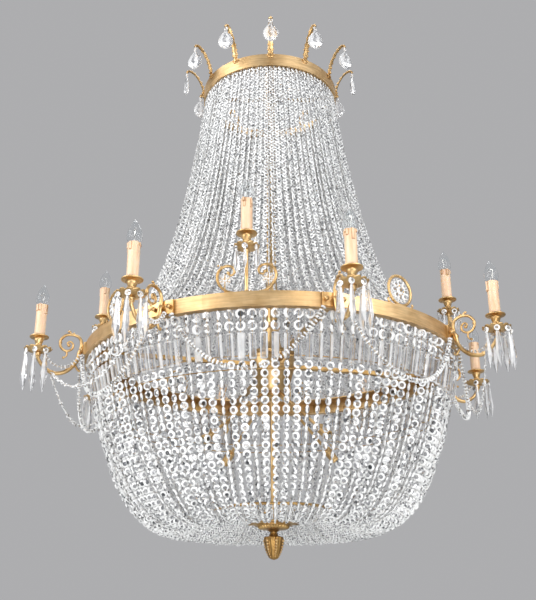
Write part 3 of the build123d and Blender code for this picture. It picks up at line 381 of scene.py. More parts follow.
def tube_shape(points, radii, sides=12, per=6):
    """Round bar along a smooth line, with its own radius at each given point."""
    p = soften(points, per) if per else np.asarray(points, dtype=float)
    r = np.interp(np.linspace(0, 1, len(p)), np.linspace(0, 1, len(radii)), radii)
    t = np.gradient(p, axis=0)
    t /= np.linalg.norm(t, axis=1)[:, None]
    side = np.cross(t[0], (0.3, 0.5, 0.81))
    side /= np.linalg.norm(side)
    a = np.arange(sides) * TAU / sides
    rings = []
    for i in range(len(p)):
        side = side - t[i] * (side @ t[i])
        side /= np.linalg.norm(side)
        other = np.cross(t[i], side)
        rings.append(p[i] + r[i] * (np.cos(a)[:, None] * side + np.sin(a)[:, None] * other))
    return rings_mesh(rings)


def pin_shape(r, low, high):
    """Thin straight wire along Z."""
    a = np.arange(6) * TAU / 6
    return rings_mesh([np.stack([r * np.cos(a), r * np.sin(a), np.full(6, z)], 1) for z in (low, high)])


def moved(points, x=0.0, z=0.0):
    """Flat points, shifted to where their shape stands."""
    return [(p + x, q + z) for p, q in points]


def upright(points, y=0.0):
    """Flat points as points in space, all at one y."""
    return [(x, y, z) for x, z in points]


def T(x=0, y=0, z=0):
    return Matrix.Translation((x, y, z))


def R(axis, deg):
    return Matrix.Rotation(math.radians(deg), 4, axis)


def around(n, start=0.0):
    return [R("Z", start + 360.0 * i / n) for i in range(n)]


# ---------------------------------------------------------------- hanging chains
def catenary(scale, start, end):
    """Chain from start to end, both (radius, height): scale, middle, floor and the arc's two ends."""
    low, high = -1500.0, 1500.0
    rise = start[1] - end[1]
    sign = 1.0 if start[0] > end[0] else -1.0
    for _ in range(80):
        middle = (low + high) / 2
        drop = scale * (math.cosh((start[0] - middle) / scale) - math.cosh((end[0] - middle) / scale))
        if sign * (drop - rise) > 0:
            low = middle
        else:
            high = middle
    mid = (low + high) / 2
    floor = start[1] - scale * math.cosh((start[0] - mid) / scale)
    ends = [scale * math.sinh((p[0] - mid) / scale) for p in (start, end)]
    return scale, mid, floor, *ends


def on_chain(chain, s):
    """Radius, height and the two parts of the direction at s along the chain."""
    scale, mid, floor, first, last = chain
    sign = 1.0 if last > first else -1.0
    u = math.asinh((first + sign * s) / scale)
    return mid + scale * u, floor + scale * math.cosh(u), sign / math.cosh(u), sign * math.tanh(u)


def seated(scale, r0, top, r1, foot, b0, b1):
    """Chain whose end beads, tilted as they hang, just clear what carries them."""
    c = catenary(scale, (r0, top), (r1, foot))
    for _ in range(3):
        a = abs(on_chain(c, 0)[2])
        b = abs(on_chain(c, abs(c[4] - c[3]))[2])
        c = catenary(scale, (r0, top - TOUCH - b0 * a), (r1, foot + TOUCH + b1 * b))
    return c


def strand_places(chain, start, end, radius_at, fill, twist0, drift, jitter, weave, squat, lean):
    """4x4 places of the beads of one strand, on the +X side."""
    s, mats, tw = start, [], twist0
    while True:
        r, z, o, u = on_chain(chain, min(s, end))
        b = radius_at(r)
        if s + b * squat * fill > end:
            break
        s += b * squat * fill
        r, z, o, u = on_chain(chain, s)
        weave = -weave
        tw += drift + RNG.normal(0, jitter)
        t = np.array([o, 0, u])
        n = np.array([u, 0, -o])
        if n[0] < 0:
            n = -n
        y = np.cross(t, n)
        c, q = math.cos(tw + weave), math.sin(tw + weave)
        x2, y2 = n * c + y * q, y * c - n * q
        m = np.eye(4)
        k = math.copysign(lean, weave)
        y2, t = y2 * math.cos(k) + t * math.sin(k), t * math.cos(k) - y2 * math.sin(k)
        m[:3, 0], m[:3, 1], m[:3, 2], m[:3, 3] = x2 * b, y2 * b, t * b * squat, (r, 0, z)
        mats.append(m)
        s += b * squat * fill
    return mats


def turn_all(mats, rot):
    return np.asarray(rot)[None] @ np.asarray(mats)


def strands(name, chain, start, end, count, offset, radius_at, shape, fill, groups, nodes,
            face, drift, jitter, weave=0.0, squat=1.0, lean=0.0):
    """All strands of one kind round the stem, in a few pieces."""
    per = count // groups
    for g in range(groups):
        heap = Heap()
        for i in range(g * per, (g + 1) * per):
            mats = strand_places(chain, start, end, radius_at, fill, RNG.normal(0, face),
                                 RNG.normal(0, drift), jitter, weave, squat, lean)
            heap.many(*shape, turn_all(mats, R("Z", offset + 360.0 * i / count)))
        heap.make("%s_%d" % (name, g + 1), CRYSTAL, "crystal", nodes=nodes)


unit_gem = gem_shape(1.0, 0.62)

# tent: two staggered rows of graduated beads
for row in (0, 1):
    r0, r1 = CROWN_R - 6 - row * 9.6, RING_R - 33 - row * 12
    chain = seated(108.0, r0, CROWN_BOTTOM, r1, RING_TOP, 5.0, 5.0)
    strands("tent_row%d" % (row + 1), chain, 0.0, abs(chain[4] - chain[3]), TENT_COUNT,
            row * 180 / TENT_COUNT, lambda r: 6.1 + 1.0 * (r - 190) / 270, unit_gem, 0.98, 4,
            ("tent_strands",), 0.25, 0.01, 0.08, 0.22, 0.88, 0.30)

# basket: octagons, prisms, graduated strands
gap = (4.0 + TOUCH) / math.sqrt(2)
BASKET = catenary(RING_R * 0.2072, (RING_R - 9, RING_BOTTOM - TOUCH), (BOTTOM_R + gap, BOTTOM_Z - gap))
LENGTH = abs(BASKET[4] - BASKET[3])
PRISM_MID = 13.0 * 3 + 0.3 + 13.0 + 0.3 + 30.5
STRAND0 = PRISM_MID + 30.5 + TOUCH


def chain_place(s, twist):
    r, z, o, u = on_chain(BASKET, s)
    t = np.array([-o, 0, -u])
    n = np.array([-u, 0, o])
    if n[0] < 0:
        n = -n
    y = np.cross(t, n)
    c, q = math.cos(twist), math.sin(twist)
    m = np.eye(4)
    m[:3, 0], m[:3, 1], m[:3, 2], m[:3, 3] = n * c + y * q, y * c - n * q, t, (r, 0, z)
    return m


oct_v, oct_f = gem_shape(11.6, 8.0, 8, 0.6)
OCT_HALF, BAR_HALF = 13.0, 30.5
pin_v, pin_f = pin_shape(0.7, -OCT_HALF, OCT_HALF)


def prism_shape(w, l, t):
    c = 2.2
    outline = [(-w / 2 + c, -l / 2), (w / 2 - c, -l / 2), (w / 2, -l / 2 + c), (w / 2, l / 2 - c),
               (w / 2 - c, l / 2), (-w / 2 + c, l / 2), (-w / 2, l / 2 - c), (-w / 2, -l / 2 + c)]
    rings = []
    for x, q in ((-t / 2, 3.4), (-t * 0.12, 0), (t * 0.12, 0), (t / 2, 3.4)):
        rings.append([(x, y * (1 - 2 * q / w), z * (1 - 2 * q / l)) for y, z in outline])
    return rings_mesh(rings)


pri_v, pri_f = prism_shape(17.0, 58.5, 8.5)
# Chance that a prism facet is a clear face; the others take the painted white glint of the bevel material.
PRISM_CLEAR = np.array([0.25] * (len(pri_f) - 2) + [0.72, 0.72])
octs, pins, prisms = Heap(), Heap(), Heap()
for i in range(BASKET_COUNT):
    turn = R("Z", 360 / BASKET_COUNT * i)
    tw = RNG.normal(0, 0.42)
    for s in (13.0, 39.3):
        tw += RNG.normal(0, 0.3)
        m = np.asarray(turn) @ chain_place(s, tw)
        octs.add(oct_v, oct_f, m, painted_sparkle(len(oct_f)))
        pins.add(pin_v, pin_f, m)
    m = np.asarray(turn) @ chain_place(PRISM_MID, tw + RNG.normal(0, 0.35))
    prisms.add(pri_v, pri_f, m, (RNG.random(len(pri_f)) < PRISM_CLEAR).astype(int).tolist())
    pins.add(pin_v * (1, 1, BAR_HALF / OCT_HALF), pin_f, m)
octs.make("basket_octagon_beads", CRYSTAL, "crystal", nodes=("basket_octagons",))
prisms.make("basket_prism_bars", BAR, "crystal", nodes=("basket_prisms",))
pins.make("basket_pins", GILT, "polished_brass")


def basket_bead(r):
    return min(9.6, 0.46 * TAU * r / BASKET_COUNT)


strands("basket_beads", BASKET, STRAND0, LENGTH, BASKET_COUNT, 0.0, basket_bead, gem_shape(1.0, 0.66), 1.0, 3,
        ("basket_strands",), 0.5, 0.03, 0.20)

# bottom: short strands from the ring to the dish
first, last = BOTTOM_R - 4 - TOUCH, DISH_R * 0.9


def bottom_bead(r):
    return min(4.25, 0.45 * TAU * r / BOTTOM_COUNT)


b_start, b_end = (first, BOTTOM_Z - bottom_bead(first)), (last, DISH_RIM + bottom_bead(last) + TOUCH + 0.4)
BOT = catenary(3.0 * (first - last), b_start, b_end)
strands("bottom_beads", BOT, 0.0, abs(BOT[4] - BOT[3]), BOTTOM_COUNT, 0.0, bottom_bead, unit_gem, 0.92, 1,
        ("bottom_strands",), 0.8, 0.1, 0.5)


# ---------------------------------------------------------------- garlands
def sag_scale(half, sag):
    """Scale of the catenary that sags so much over twice the half span."""
    low, high = half / 20, half * 50
    for _ in range(80):
        m = (low + high) / 2
        if m * (math.cosh(half / m) - 1) > sag:
            low = m
        else:
            high = m
    return (low + high) / 2


def hang(half, sag, top, n):
    """Points of a festoon: place across and height."""
    k = sag_scale(half, sag)
    reach = math.sinh(half / k)
    out = []
    for i in range(n + 1):
        a = k * math.asinh((2.0 * i / n - 1) * reach)
        out.append((a, top - sag + k * (math.cosh(a / k) - 1)))
    return out


def beads_along(heap, wire, pts, rot, size, pitch, graded=False):
    """Beads along a line: discs threaded through their middle, or graded ones threaded through their rims."""
    p = np.asarray(pts, dtype=float)
    d = np.concatenate([[0], np.cumsum(np.linalg.norm(np.diff(p, axis=0), axis=1))])
    if graded:
        s, sizes, at = [], [], 1.0
        while True:
            b = size * (0.66 + 0.34 * math.sin(math.pi * min(at / d[-1], 1.0)))
            if at + 2.04 * b > d[-1]:
                break
            s.append(at + 1.02 * b)
            sizes.append(b)
            at += 2.04 * b
        n, s = len(s), np.array(s)
    else:
        n = int((d[-1] - size * 0.7) // pitch)
        s, sizes = np.linspace(size * 0.35, d[-1] - size * 0.35, n), [size] * n
    q = np.stack([np.interp(s, d, p[:, k]) for k in range(3)], 1)
    t = np.gradient(q, axis=0)
    t /= np.linalg.norm(t, axis=1)[:, None]
    v, f = gem_shape(1.0, 0.72, 8, 0.5)
    mats = []
    for k in range(n):
        a = RNG.uniform(0, TAU)
        side = np.cross(t[k], (0.2, 0.1, 0.97))
        side /= np.linalg.norm(side)
        other = np.cross(t[k], side)
        y = side * math.cos(a) + other * math.sin(a)
        z = np.cross(t[k], y)
        m = np.eye(4)
        a, b, c = (y, z, t[k]) if graded else (t[k], y, z)
        m[:3, 0], m[:3, 1], m[:3, 2], m[:3, 3] = a * sizes[k], b * sizes[k], c * sizes[k], q[k]
        mats.append(m)
    heap.many(v, f, turn_all(mats, rot))
    wv, wf = tube_shape(p, [0.5, 0.5], 5, 0)
    wire.add(wv, wf, rot)


gar, wire = Heap(), Heap()
bay = 360.0 / ARMS
rf = RING_R + 8
half = math.pi / ARMS - (20 + 5.8) / RING_R
lvl = 1 / math.cosh(rf * half / sag_scale(rf * half, 140.0))
ring_pts = []
for a, z in hang(rf * half, 140.0, RING_Z - 16 - TOUCH - GARLAND * lvl, 60):
    ring_pts.append((rf * math.cos(a / rf), rf * math.sin(a / rf), z))
h = math.pi / ARMS
steep = math.tanh(580 * math.sin(h) / sag_scale(580 * math.sin(h), 78.0))
reach = 580 * math.sin(h) - (6 + TOUCH + GARLAND * steep) / math.cos(h)
outer_pts = [(580 * math.cos(h), a, z) for a, z in hang(reach, 78.0, ARM_LOW, 50)]
inner_x, outer_x = BRACKET + TOUCH + GARLAND, ARM_R - 16
hx = (outer_x - inner_x) / 2
lv = 1 / math.cosh(hx / sag_scale(hx, 34.0))
arm_pts = [((inner_x + outer_x) / 2 + a, 6 + TOUCH + GARLAND, z)
           for a, z in hang(hx, 34.0, PAN_Z - 8 - TOUCH - GARLAND * lv, 30)]
OUTER_BAYS = (1, 2, 3, 4, 7)
for i in range(ARMS):
    beads_along(gar, wire, ring_pts, R("Z", bay * (i + 0.5)), 6.2, 9.2)
    beads_along(gar, wire, arm_pts, R("Z", bay * i), 5.4, 8.6)
for i in OUTER_BAYS:
    beads_along(gar, wire, outer_pts, R("Z", bay * (i + 0.5)), 6.4, 0, True)
gar.make("garland_beads", CRYSTAL, "crystal", nodes=("bead_garlands",))
wire.make("garland_wires", GILT, "polished_brass")

# ---------------------------------------------------------------- crown leaves and drops
LEAVES = [15 + 30 * i for i in range(LEAF_COUNT)]
path = soften([(201.8, -146.5), (201.9, -130.5), (207, -107), (216, -84),
               (229, -63), (243, -50.5), (251, -49.4), (TIP_R, TIP_Z)], 5)
nrm = np.gradient(path, axis=0)
nrm = np.stack([nrm[:, 1], -nrm[:, 0]], 1)
nrm /= np.linalg.norm(nrm, axis=1)[:, None]
cols = 11
front, back = [], []
for i, (p, n) in enumerate(zip(path, nrm)):
    s = i / (len(path) - 1)
    wide = (7.6 if s < 0.2 else 8.8 - 5.0 * s) * (0.80 + 0.20 * abs(math.sin(s * math.pi * 7)))
    f_row, b_row = [], []
    for j in range(cols):
        c = 2 * j / (cols - 1) - 1
        cup = 1.6 * c * c + 0.8 * abs(math.sin(c * 6.5)) - (1.3 if abs(c) < 0.12 else 0)
        lift = 1.5 - cup
        f_row.append((p[0] + n[0] * lift, c * wide, p[1] + n[1] * lift))
        b_row.append((p[0] - n[0] * 1.2, c * wide, p[1] - n[1] * 1.2))
    front.append(f_row)
    back.append(b_row[::-1])
leaf_v, leaf_f = rings_mesh([a + b for a, b in zip(front, back)])
tip_v, tip_f = tube_shape([(TIP_R, -3.5, TIP_Z), (TIP_R, 3.5, TIP_Z)], [3.0, 3.0], 16, 0)
curl_v, curl_f = ball(4.6)
leaf = Heap()
lobe_v, lobe_f = ball(1.0, 10, 8)
lobes = []
for k in range(9):
    i = 3 + int(round(k * (len(path) - 8) / 8))
    s = i / (len(path) - 1)
    lean = math.degrees(math.atan2(-nrm[i][1], nrm[i][0]))
    size = 1.0 - 0.55 * s
    (x, z), (nx, nz) = path[i], nrm[i]
    lobes.append((x - nx * 2.2, 0, z - nz * 2.2, lean, (4.6 * size, 4.2 * size, 6.2 * size)))
    for side in (-1, 1):
        lobes.append((x - nx * 0.3, side * (8.0 - 4.6 * s), z - nz * 0.3, lean,
                      (2.2 * size, 3.2 * size, 4.4 * size)))
for a in LEAVES:
    m = R("Z", a)
    leaf.add(leaf_v, leaf_f, m)
    for x, y, z, lean, size in lobes:
        leaf.add(lobe_v * size, lobe_f, m @ T(x, y, z) @ R("Y", lean - 18))
    leaf.add(tip_v, tip_f, m)
    leaf.add(curl_v * (0.7, 1.0, 1.0), curl_f, m @ T(205.5, 0, -128))
leaf.make("crown_leaves", GILT, "polished_brass", nodes=("crown_leaf_brackets",), smooth=True)

al_v, al_f = almond_shape(62.0, 44.0, 15.0)
TURNS = (40, 15, -30, 40, -36, 12, 40, 25, 0, -25, -35, -8)
# Almond facets marked 0 take the painted white glint; the rest are clear faces.
al_m = [0 if (k // 2 + k // 28) % 3 == 0 or k // 2 % 14 in (3, 4, 10, 11) else 1 for k in range(len(al_f))]
bd_v, bd_f = gem_shape(7.0, 7.0)
for i, a in enumerate(LEAVES):
    h = Heap()
    m = R("Z", a) @ T(TIP_R, 0, TIP_Z - 10.3)
    h.add(bd_v, bd_f, m)
    h.add(al_v, al_f, m @ T(0, 0, -7.3) @ R("Z", TURNS[i]), al_m)
    node = "crown_drop_%02d" % (i + 1)
    h.make("crown_almond_%02d" % (i + 1), BAR, "crystal", body="drop_%02d" % (i + 1), nodes=(node,))
    w = Heap()
    w.add(*pin_shape(0.6, -9, 6.9), m)
    w.make("crown_pin_%02d" % (i + 1), GILT, "polished_brass", body="drop_%02d" % (i + 1))

# ---------------------------------------------------------------- candle arms and scrolls
start = BRACKET + TOUCH + 6
sp = ARM_R - start
arm_line = [(start - 5, 0, RING_Z + 3)]
arm_line += [(start + sp * q, 0, z) for q, z in (
    (0.01, RING_Z - 4), (0.05, RING_Z - 24), (0.17, RING_Z - 44), (0.36, ARM_LOW + 4),
    (0.60, ARM_LOW + 0.5), (0.83, ARM_LOW + 14), (0.965, ARM_LOW + 32))]
arm_line += [(ARM_R, 0, ARM_LOW + 42), (ARM_R, 0, PAN_Z - 8.4)]
arm_v, arm_f = tube_shape(arm_line, [6.6, 5.6, 4.8, 5.2, 4.8, 4.4, 4.4, 5.0], 14, 6)
collar_v, collar_f = lathe([(4, 0), (7.2, 1), (7.8, 3), (6, 5), (8.8, 8), (9.4, 10), (4, 10.4)], 20)
ball_v, ball_f = ball(1.0, 12, 8)
arms = Heap()
for m in around(ARMS):
    arms.add(arm_v, arm_f, m)
    arms.add(collar_v, collar_f, m @ T(ARM_R, 0, PAN_Z - 18.6))
    for q, w in ((0.30, 6.6), (0.62, 6.4)):
        x = start + sp * q
        z = np.interp(x, [p[0] for p in arm_line], [p[2] for p in arm_line])
        arms.add(ball_v * (w * 0.45, w, w), ball_f, m @ T(x, 0, z))
arms.make("candle_arm_bars", GILT, "polished_brass", nodes=("candle_arms",), smooth=True)

s0 = BRACKET + TOUCH + 4
spiral = upright(moved((
    (0.5, 4), (-0.4, 16), (1.5, 28), (9, 37.5), (24, 42), (40.5, 39), (52, 26), (52.5, 12), (45, 1),
    (33, -2), (22, 5), (20.5, 16), (27, 23), (34, 20.5), (34.5, 15)), s0, RING_Z))
tail = upright(moved(((39, -1), (34.5, -9), (36.5, -17), (42, -20.5)), s0, RING_Z))
bud = upright(moved(((28, 43), (29.5, 49.5), (34, 50.5)), s0, RING_Z))
leaflet = upright(moved(((9, -40), (2, -51), (-4, -52), (-4.5, -46.5)), start, RING_Z))
SCROLL_BARS = [
    tube_shape(spiral, [4.6, 4.2, 3.8, 3.6, 3.6, 3.4, 3.2, 3.0, 2.8, 2.6, 2.2, 2.0], 12, 5),
    tube_shape(tail, [2.8, 2.2, 1.8], 10, 5),
    tube_shape(bud, [2.4, 2.0, 1.6], 10, 5),
    tube_shape(leaflet, [3.2, 2.8, 2.2, 1.8], 10, 5)]
SCROLL_BALLS = ((31, 13.5, 4.6), (42.5, -20.5, 3.4), (33.5, 50, 3.2), (20.5, 45, 3.4),
                (52, 19, 4.0), (0, 21, 4.6))
sc = Heap()
for m in around(ARMS):
    for v, f in SCROLL_BARS:
        sc.add(v, f, m)
    for x, z, r in SCROLL_BALLS:
        sc.add(ball_v * r, ball_f, m @ T(s0 + x, 0, RING_Z + z))
sc.make("arm_scroll_work", GILT, "polished_brass", nodes=("arm_scrolls",), smooth=True)


# ---------------------------------------------------------------- pans, cups, candles
def pan_shape(radius):
    """Leaf-edged drip pan of six lobes."""
    n, rows = 96, 9
    a = np.arange(n) * TAU / n
    lobes = np.abs(np.cos(6 * a)) ** 0.6
    top, low = [], []
    for i in range(rows + 1):
        s = i / rows
        edge = radius * (0.88 + 0.12 * lobes)
        r = 3 + (edge - 3) * s
        wave = np.cos(12 * a)
        z = -6.3 + 8.3 * s ** 2.2 + 1.1 * s * s * wave - 0.9 * s * np.abs(wave) + 1.8 * s ** 6 * lobes
        z = np.minimum(z, 2.6)
        top.append(np.stack([r * np.cos(a), r * np.sin(a), z + 0.5], 1))
        low.append(np.stack([r * np.cos(a), r * np.sin(a), z - 1.2 - 0.6 * (1 - s)], 1))
    return rings_mesh(low + top[::-1])


CUP_FOOT = -4.5
CUP = moved(((0.1, 0), (9.4, 0.2), (9.8, 2.6), (7.0, 5), (5.8, 9), (6.4, 12.4), (9.2, 14), (9.2, 16),
             (7.8, 18), (9.4, 22.5), (11.2, 28), (11.9, 31.5), (15, 34), (22.6, 35.6), (24, 37.2),
             (23.7, 38.8), (21.5, 38.3), (16.4, 37.9), (0.1, 37.9)), 0.0, CUP_FOOT)
SLEEVE0 = CUP_FOOT + 38.3
SLEEVE1 = SLEEVE0 + SLEEVE_LENGTH


def sleeve_shape(seed):
    """Candle sleeve with wax drips; the flanks and ends of the drips are marked for painted shadow in a
    darker wax colour.
    """
    rng = np.random.default_rng(seed)
    n = 60
    a = np.arange(n) * TAU / n
    drips = [(rng.uniform(0, TAU), rng.uniform(7, 26), rng.uniform(1.7, 3.0)) for _ in range(7)]
    zs = list(np.linspace(SLEEVE0, SLEEVE1 - 30, 8)) + list(np.linspace(SLEEVE1 - 28, SLEEVE1 - 0.2, 22))
    rings, shade = [], []
    for z in zs:
        r = np.full(n, SLEEVE_R)
        depth = SLEEVE1 - z
        r += 0.7 * max(0, 1 - depth / 4)
        edge = np.zeros(n, dtype=int)
        for t, length, w in drips:
            d = np.abs((a - t + math.pi) % TAU - math.pi) * 13.5
            run = np.clip((length - depth) / 3.0, 0, 1)
            head = 1.0 + 0.5 * math.exp(-((depth - length + 2) / 2.2) ** 2)
            r += 1.9 * np.exp(-(d / w) ** 2) * run * head
            # Flanks and ends of each drip take the painted shadow.
            edge |= (d > 0.85 * w) & (d < 1.25 * w + 0.6) & (run > 0)
            edge |= (d < w) & (depth > length - 1.2) & (depth < length + 1.0)
        shade += edge.tolist()
        rings.append(np.stack([r * np.cos(a), r * np.sin(a), np.full(n, z)], 1))
    wob = 0.5 * np.sin(3 * a + seed) + 0.4 * np.sin(7 * a)
    rings.append(np.stack([13.2 * np.cos(a), 13.2 * np.sin(a), SLEEVE1 + 0.5 + wob], 1))
    rings.append(np.stack([12.4 * np.cos(a), 12.4 * np.sin(a), SLEEVE1 + 0.3 + wob], 1))
    rings.append(np.stack([12.0 * np.cos(a), 12.0 * np.sin(a), np.full(n, SLEEVE1 - 2.5)], 1))
    rings.append(np.stack([12.0 * np.cos(a), 12.0 * np.sin(a), np.full(n, SLEEVE0)], 1))
    v, f = rings_mesh(rings, cap=False)
    k = len(rings) - 1
    f += [[k * n + j, k * n + (j + 1) % n, (j + 1) % n, j] for j in range(n)]
    return v, f, shade + [0] * (len(f) - len(shade))


CANDLES = [m @ T(ARM_R, 0, PAN_Z) for m in around(ARMS)]
CANDLES += [m @ T(UP_R, 0, UP_PAN_Z) for m in around(UPRIGHTS, UP_TURN)]
bulb_foot = SLEEVE1 - 4 - 2 + TOUCH
bl = SLEEVE1 + BULB_HEIGHT - bulb_foot
outer = [(6.6, 0.0), (7.0, 0.05), (9.0, 0.085), (12.6, 0.13), (15.9, 0.20), (17.4, 0.31), (16.9, 0.44),
         (14.7, 0.58), (11.2, 0.72), (7.2, 0.85), (3.6, 0.94), (1.4, 0.985), (0.3, 1.0)]
inner = [(max(r - 0.9, 0.05), z - (0.0 if z < 0.9 else 0.02)) for r, z in reversed(outer)]
wall = [(r, bulb_foot + bl * z) for side in (outer, inner) for r, z in soften(side, 3)]
glass_v, glass_f = lathe(wall, 36)
glass_f = glass_f[:-2]
lamp_dir = np.array([200 - 26.0, 0, -1217 + 1078.0])
lamp_way = np.linalg.norm(lamp_dir)
lamp_dir /= lamp_way
shift = lamp_way - 21 + TOUCH + 42 - (SLEEVE1 - 4 - 6)
lamp_tilt = math.degrees(math.atan2(lamp_dir[0], lamp_dir[2]))
LAMPS = [R("Z", HALF_BAY + 90 * k) @ T(26.0, 0, -1078.0) @ R("Y", lamp_tilt) for k in range(4)]
BULBS = CANDLES + [m @ T(0, 0, shift) for m in LAMPS]

pans, cups, glass, fil = Heap(), Heap(), Heap(), Heap()
pv, pf = pan_shape(PAN_R)
for m in CANDLES[:ARMS]:
    pans.add(pv, pf, m)
pans.make("leaf_pans", GILT, "polished_brass", nodes=("drip_pans",), smooth=True)
pans = Heap()
pv, pf = pan_shape(UP_PAN_R)
for m in CANDLES[ARMS:]:
    pans.add(pv, pf, m)
pans.make("leaf_pans_upright", GILT, "polished_brass", nodes=("upright_pans",), smooth=True)
cv, cf = lathe(CUP, 40, 4)
for m in CANDLES:
    cups.add(cv, cf, m)
cups.make("turned_cups", GILT, "polished_brass", nodes=("candle_cups",), smooth=True)
waxes = Heap()
for i, m in enumerate(CANDLES):
    v, f, marks = sleeve_shape(i)
    waxes.add(v, f, m, marks)
waxes.make("candle_wax_sleeves", (WAX, DRIP_PAINTED_SHADOW), "candle_white", nodes=("candle_sleeves",), smooth=True)
z0 = bulb_foot + 6
loop = ((-1.6, 0), (-2.6, 18), (-5.2, 30), (-3.2, 34), (-1.2, 31), (0, 35), (1.2, 31), (3.2, 34),
        (5.2, 30), (2.6, 18), (1.6, 0))
wire_pts = upright(moved(loop, 0.0, z0))
fv, ff = tube_shape(wire_pts, [0.35, 0.35], 5, 4)
for m in BULBS:
    glass.add(glass_v, glass_f, m)
    fil.add(fv, ff, m @ R("Z", 37))
glass.make("bulb_envelopes", BULB, "clear_glass", nodes=("bulb_glasses",), smooth=True)
fil.make("bulb_filaments", NICKEL, "cap_metal")

# pan drops: octagon buttons and long spears
buttons, spears = Heap(), Heap()
hb_v, hb_f = gem_shape(7.4, 6.0)
PAN_DROPS = [(m, PAN_R, [(i - 2.5) * 50 for i in range(6)], 88.0, 9.6) for m in CANDLES[:ARMS]]
PAN_DROPS += [(m, UP_PAN_R, [i * 60 for i in range(6)], 48.0, 7.6) for m in CANDLES[ARMS:]]
for m0, radius, turns, length, width in PAN_DROPS:
    sv, sf = spear_shape(length, width)
    # Every other spear facet takes the painted white glint.
    sm = [k % 2 for k in range(len(sf))]
    for t in turns:
        m = m0 @ R("Z", t) @ T(radius - 3, 0, -0.96 - TOUCH - 7.5)
        buttons.add(hb_v, hb_f, m @ R("Z", RNG.uniform(-35, 35)), painted_sparkle(len(hb_f)))
        spears.add(sv, sf, m @ T(0, 0, -7.6) @ R("Z", RNG.uniform(0, 180)), sm)
buttons.make("button_beads", CRYSTAL, "crystal", nodes=("pan_buttons",))
spears.make("spear_drops", BAR, "crystal", nodes=("pan_spears",))

# ---------------------------------------------------------------- lyres, wreaths, rosettes
ly0 = RING_TOP + TOUCH + 3
lyre_pts = [(12, 0), (26, 0.5), (45, 6), (60, 20), (66, 38), (62, 55), (50, 65), (36, 65),
            (27.5, 57), (28.5, 47), (36, 43), (42, 48)]
lys = Heap()
for m in around(UPRIGHTS, UP_TURN):
    for side in (-1, 1):
        bar = [(UP_R, side * y, ly0 + z) for y, z in lyre_pts]
        v, f = tube_shape(bar, [3.2, 3.0, 3.2, 3.4, 3.2, 3.0, 2.6, 2.2], 10, 5)
        lys.add(v, f, m)
        for y, z, r in ((41, 49, 4.0), (9.5, 1, 4.2), (57, 64, 3.2), (64, 68, 2.4)):
            lys.add(ball_v * r, ball_f, m @ T(UP_R, side * y, ly0 + z))
lys.make("lyre_work", GILT, "polished_brass", nodes=("lyre_scrolls",), smooth=True)

WREATH_Z = RING_TOP + TOUCH + 5 + 36 + 4
wr = Heap()
circle = [(UP_R, 36 * math.sin(t), WREATH_Z + 36 * math.cos(t)) for t in np.linspace(0, TAU, 49)]
wv, wf = tube_shape(circle, [3.2, 3.2], 10, 0)
pearl_v, pearl_f = ball(1.0, 8, 6)
for m in around(UPRIGHTS, HALF_BAY):
    wr.add(wv, wf, m)
    for k in range(34):
        t = TAU * k / 34
        wr.add(pearl_v * 3.7, pearl_f, m @ T(UP_R, 36.5 * math.sin(t), WREATH_Z + 36.5 * math.cos(t)))
    foot = lathe([(7.5, 0), (7.8, 1.6), (4.2, 3), (3.4, 4.5), (4.6, 6), (0.1, 6)], 20)
    wr.add(*foot, m @ T(UP_R, 0, RING_TOP + TOUCH))
    for side in (-1, 1):
        curl = [(UP_R, side * y, RING_TOP + z) for y, z in ((4, 5), (18, 4), (32, 7), (40, 14), (38, 19))]
        v, f = tube_shape(curl, [3.2, 3.6, 3.0, 2.4, 2.6], 10, 5)
        wr.add(v, f, m)
wr.make("pearl_wreaths", GILT, "polished_brass", nodes=("wreaths",), smooth=True)

ros = Heap()
LYRE_EYE = 66 - 3 - 0.6 - 14


def rosette(m, r, t):
    """Flower of cut beads round a larger one."""
    big = gem_shape(r * 0.34, t, 8)
    ros.add(*big, m)
    for k in range(8):
        a = TAU * k / 8
        g = gem_shape(r * 0.25, t * 0.62, 8)
        ros.add(*g, m @ T(0.8 if k % 2 else -0.8, r * 0.62 * math.sin(a), r * 0.62 * math.cos(a)))
    for k in range(16):
        a = TAU * (k + 0.5) / 16
        g = gem_shape(r * 0.13, t * 0.4, 6)
        ros.add(*g, m @ T(0, r * 0.86 * math.sin(a), r * 0.86 * math.cos(a)))


for m in around(UPRIGHTS, UP_TURN):
    for side in (-1, 1):
        rosette(m @ T(UP_R, side * LYRE_EYE, ly0 + 33), 14.0, 8.0)
for m in around(UPRIGHTS, HALF_BAY):
    rosette(m @ T(UP_R, 0, WREATH_Z), 31.0, 10.0)
stars = Heap()
for m in around(UPRIGHTS, UP_TURN):
    for side in (-1, 1):
        c = m @ T(UP_R, side * LYRE_EYE, ly0 + 33)
        stars.add(ball_v * (5.2, 3.2, 3.2), ball_f, c)
        for k in range(6):
            q = c @ R("X", 60 * k)
            stars.add(ball_v * (1.6, 2.2, 5.4), ball_f, q @ T(0, 0, 8.6))
        v, f = tube_shape([(0, 0, -14), (0, 0, -31)], [1.5, 1.5], 8, 0)
        stars.add(v, f, c)
for m in around(UPRIGHTS, HALF_BAY):
    c = m @ T(UP_R, 0, WREATH_Z)
    stars.add(ball_v * (6.4, 3.6, 3.6), ball_f, c)
    for k in range(8):
        stars.add(ball_v * (1.6, 2.4, 6.0), ball_f, c @ R("X", 45 * k) @ T(0, 0, 15))
stars.make("rosette_stars", GILT, "polished_brass", smooth=True)
ros.make("crystal_rosette_flowers", CRYSTAL, "crystal", nodes=("crystal_rosettes",))

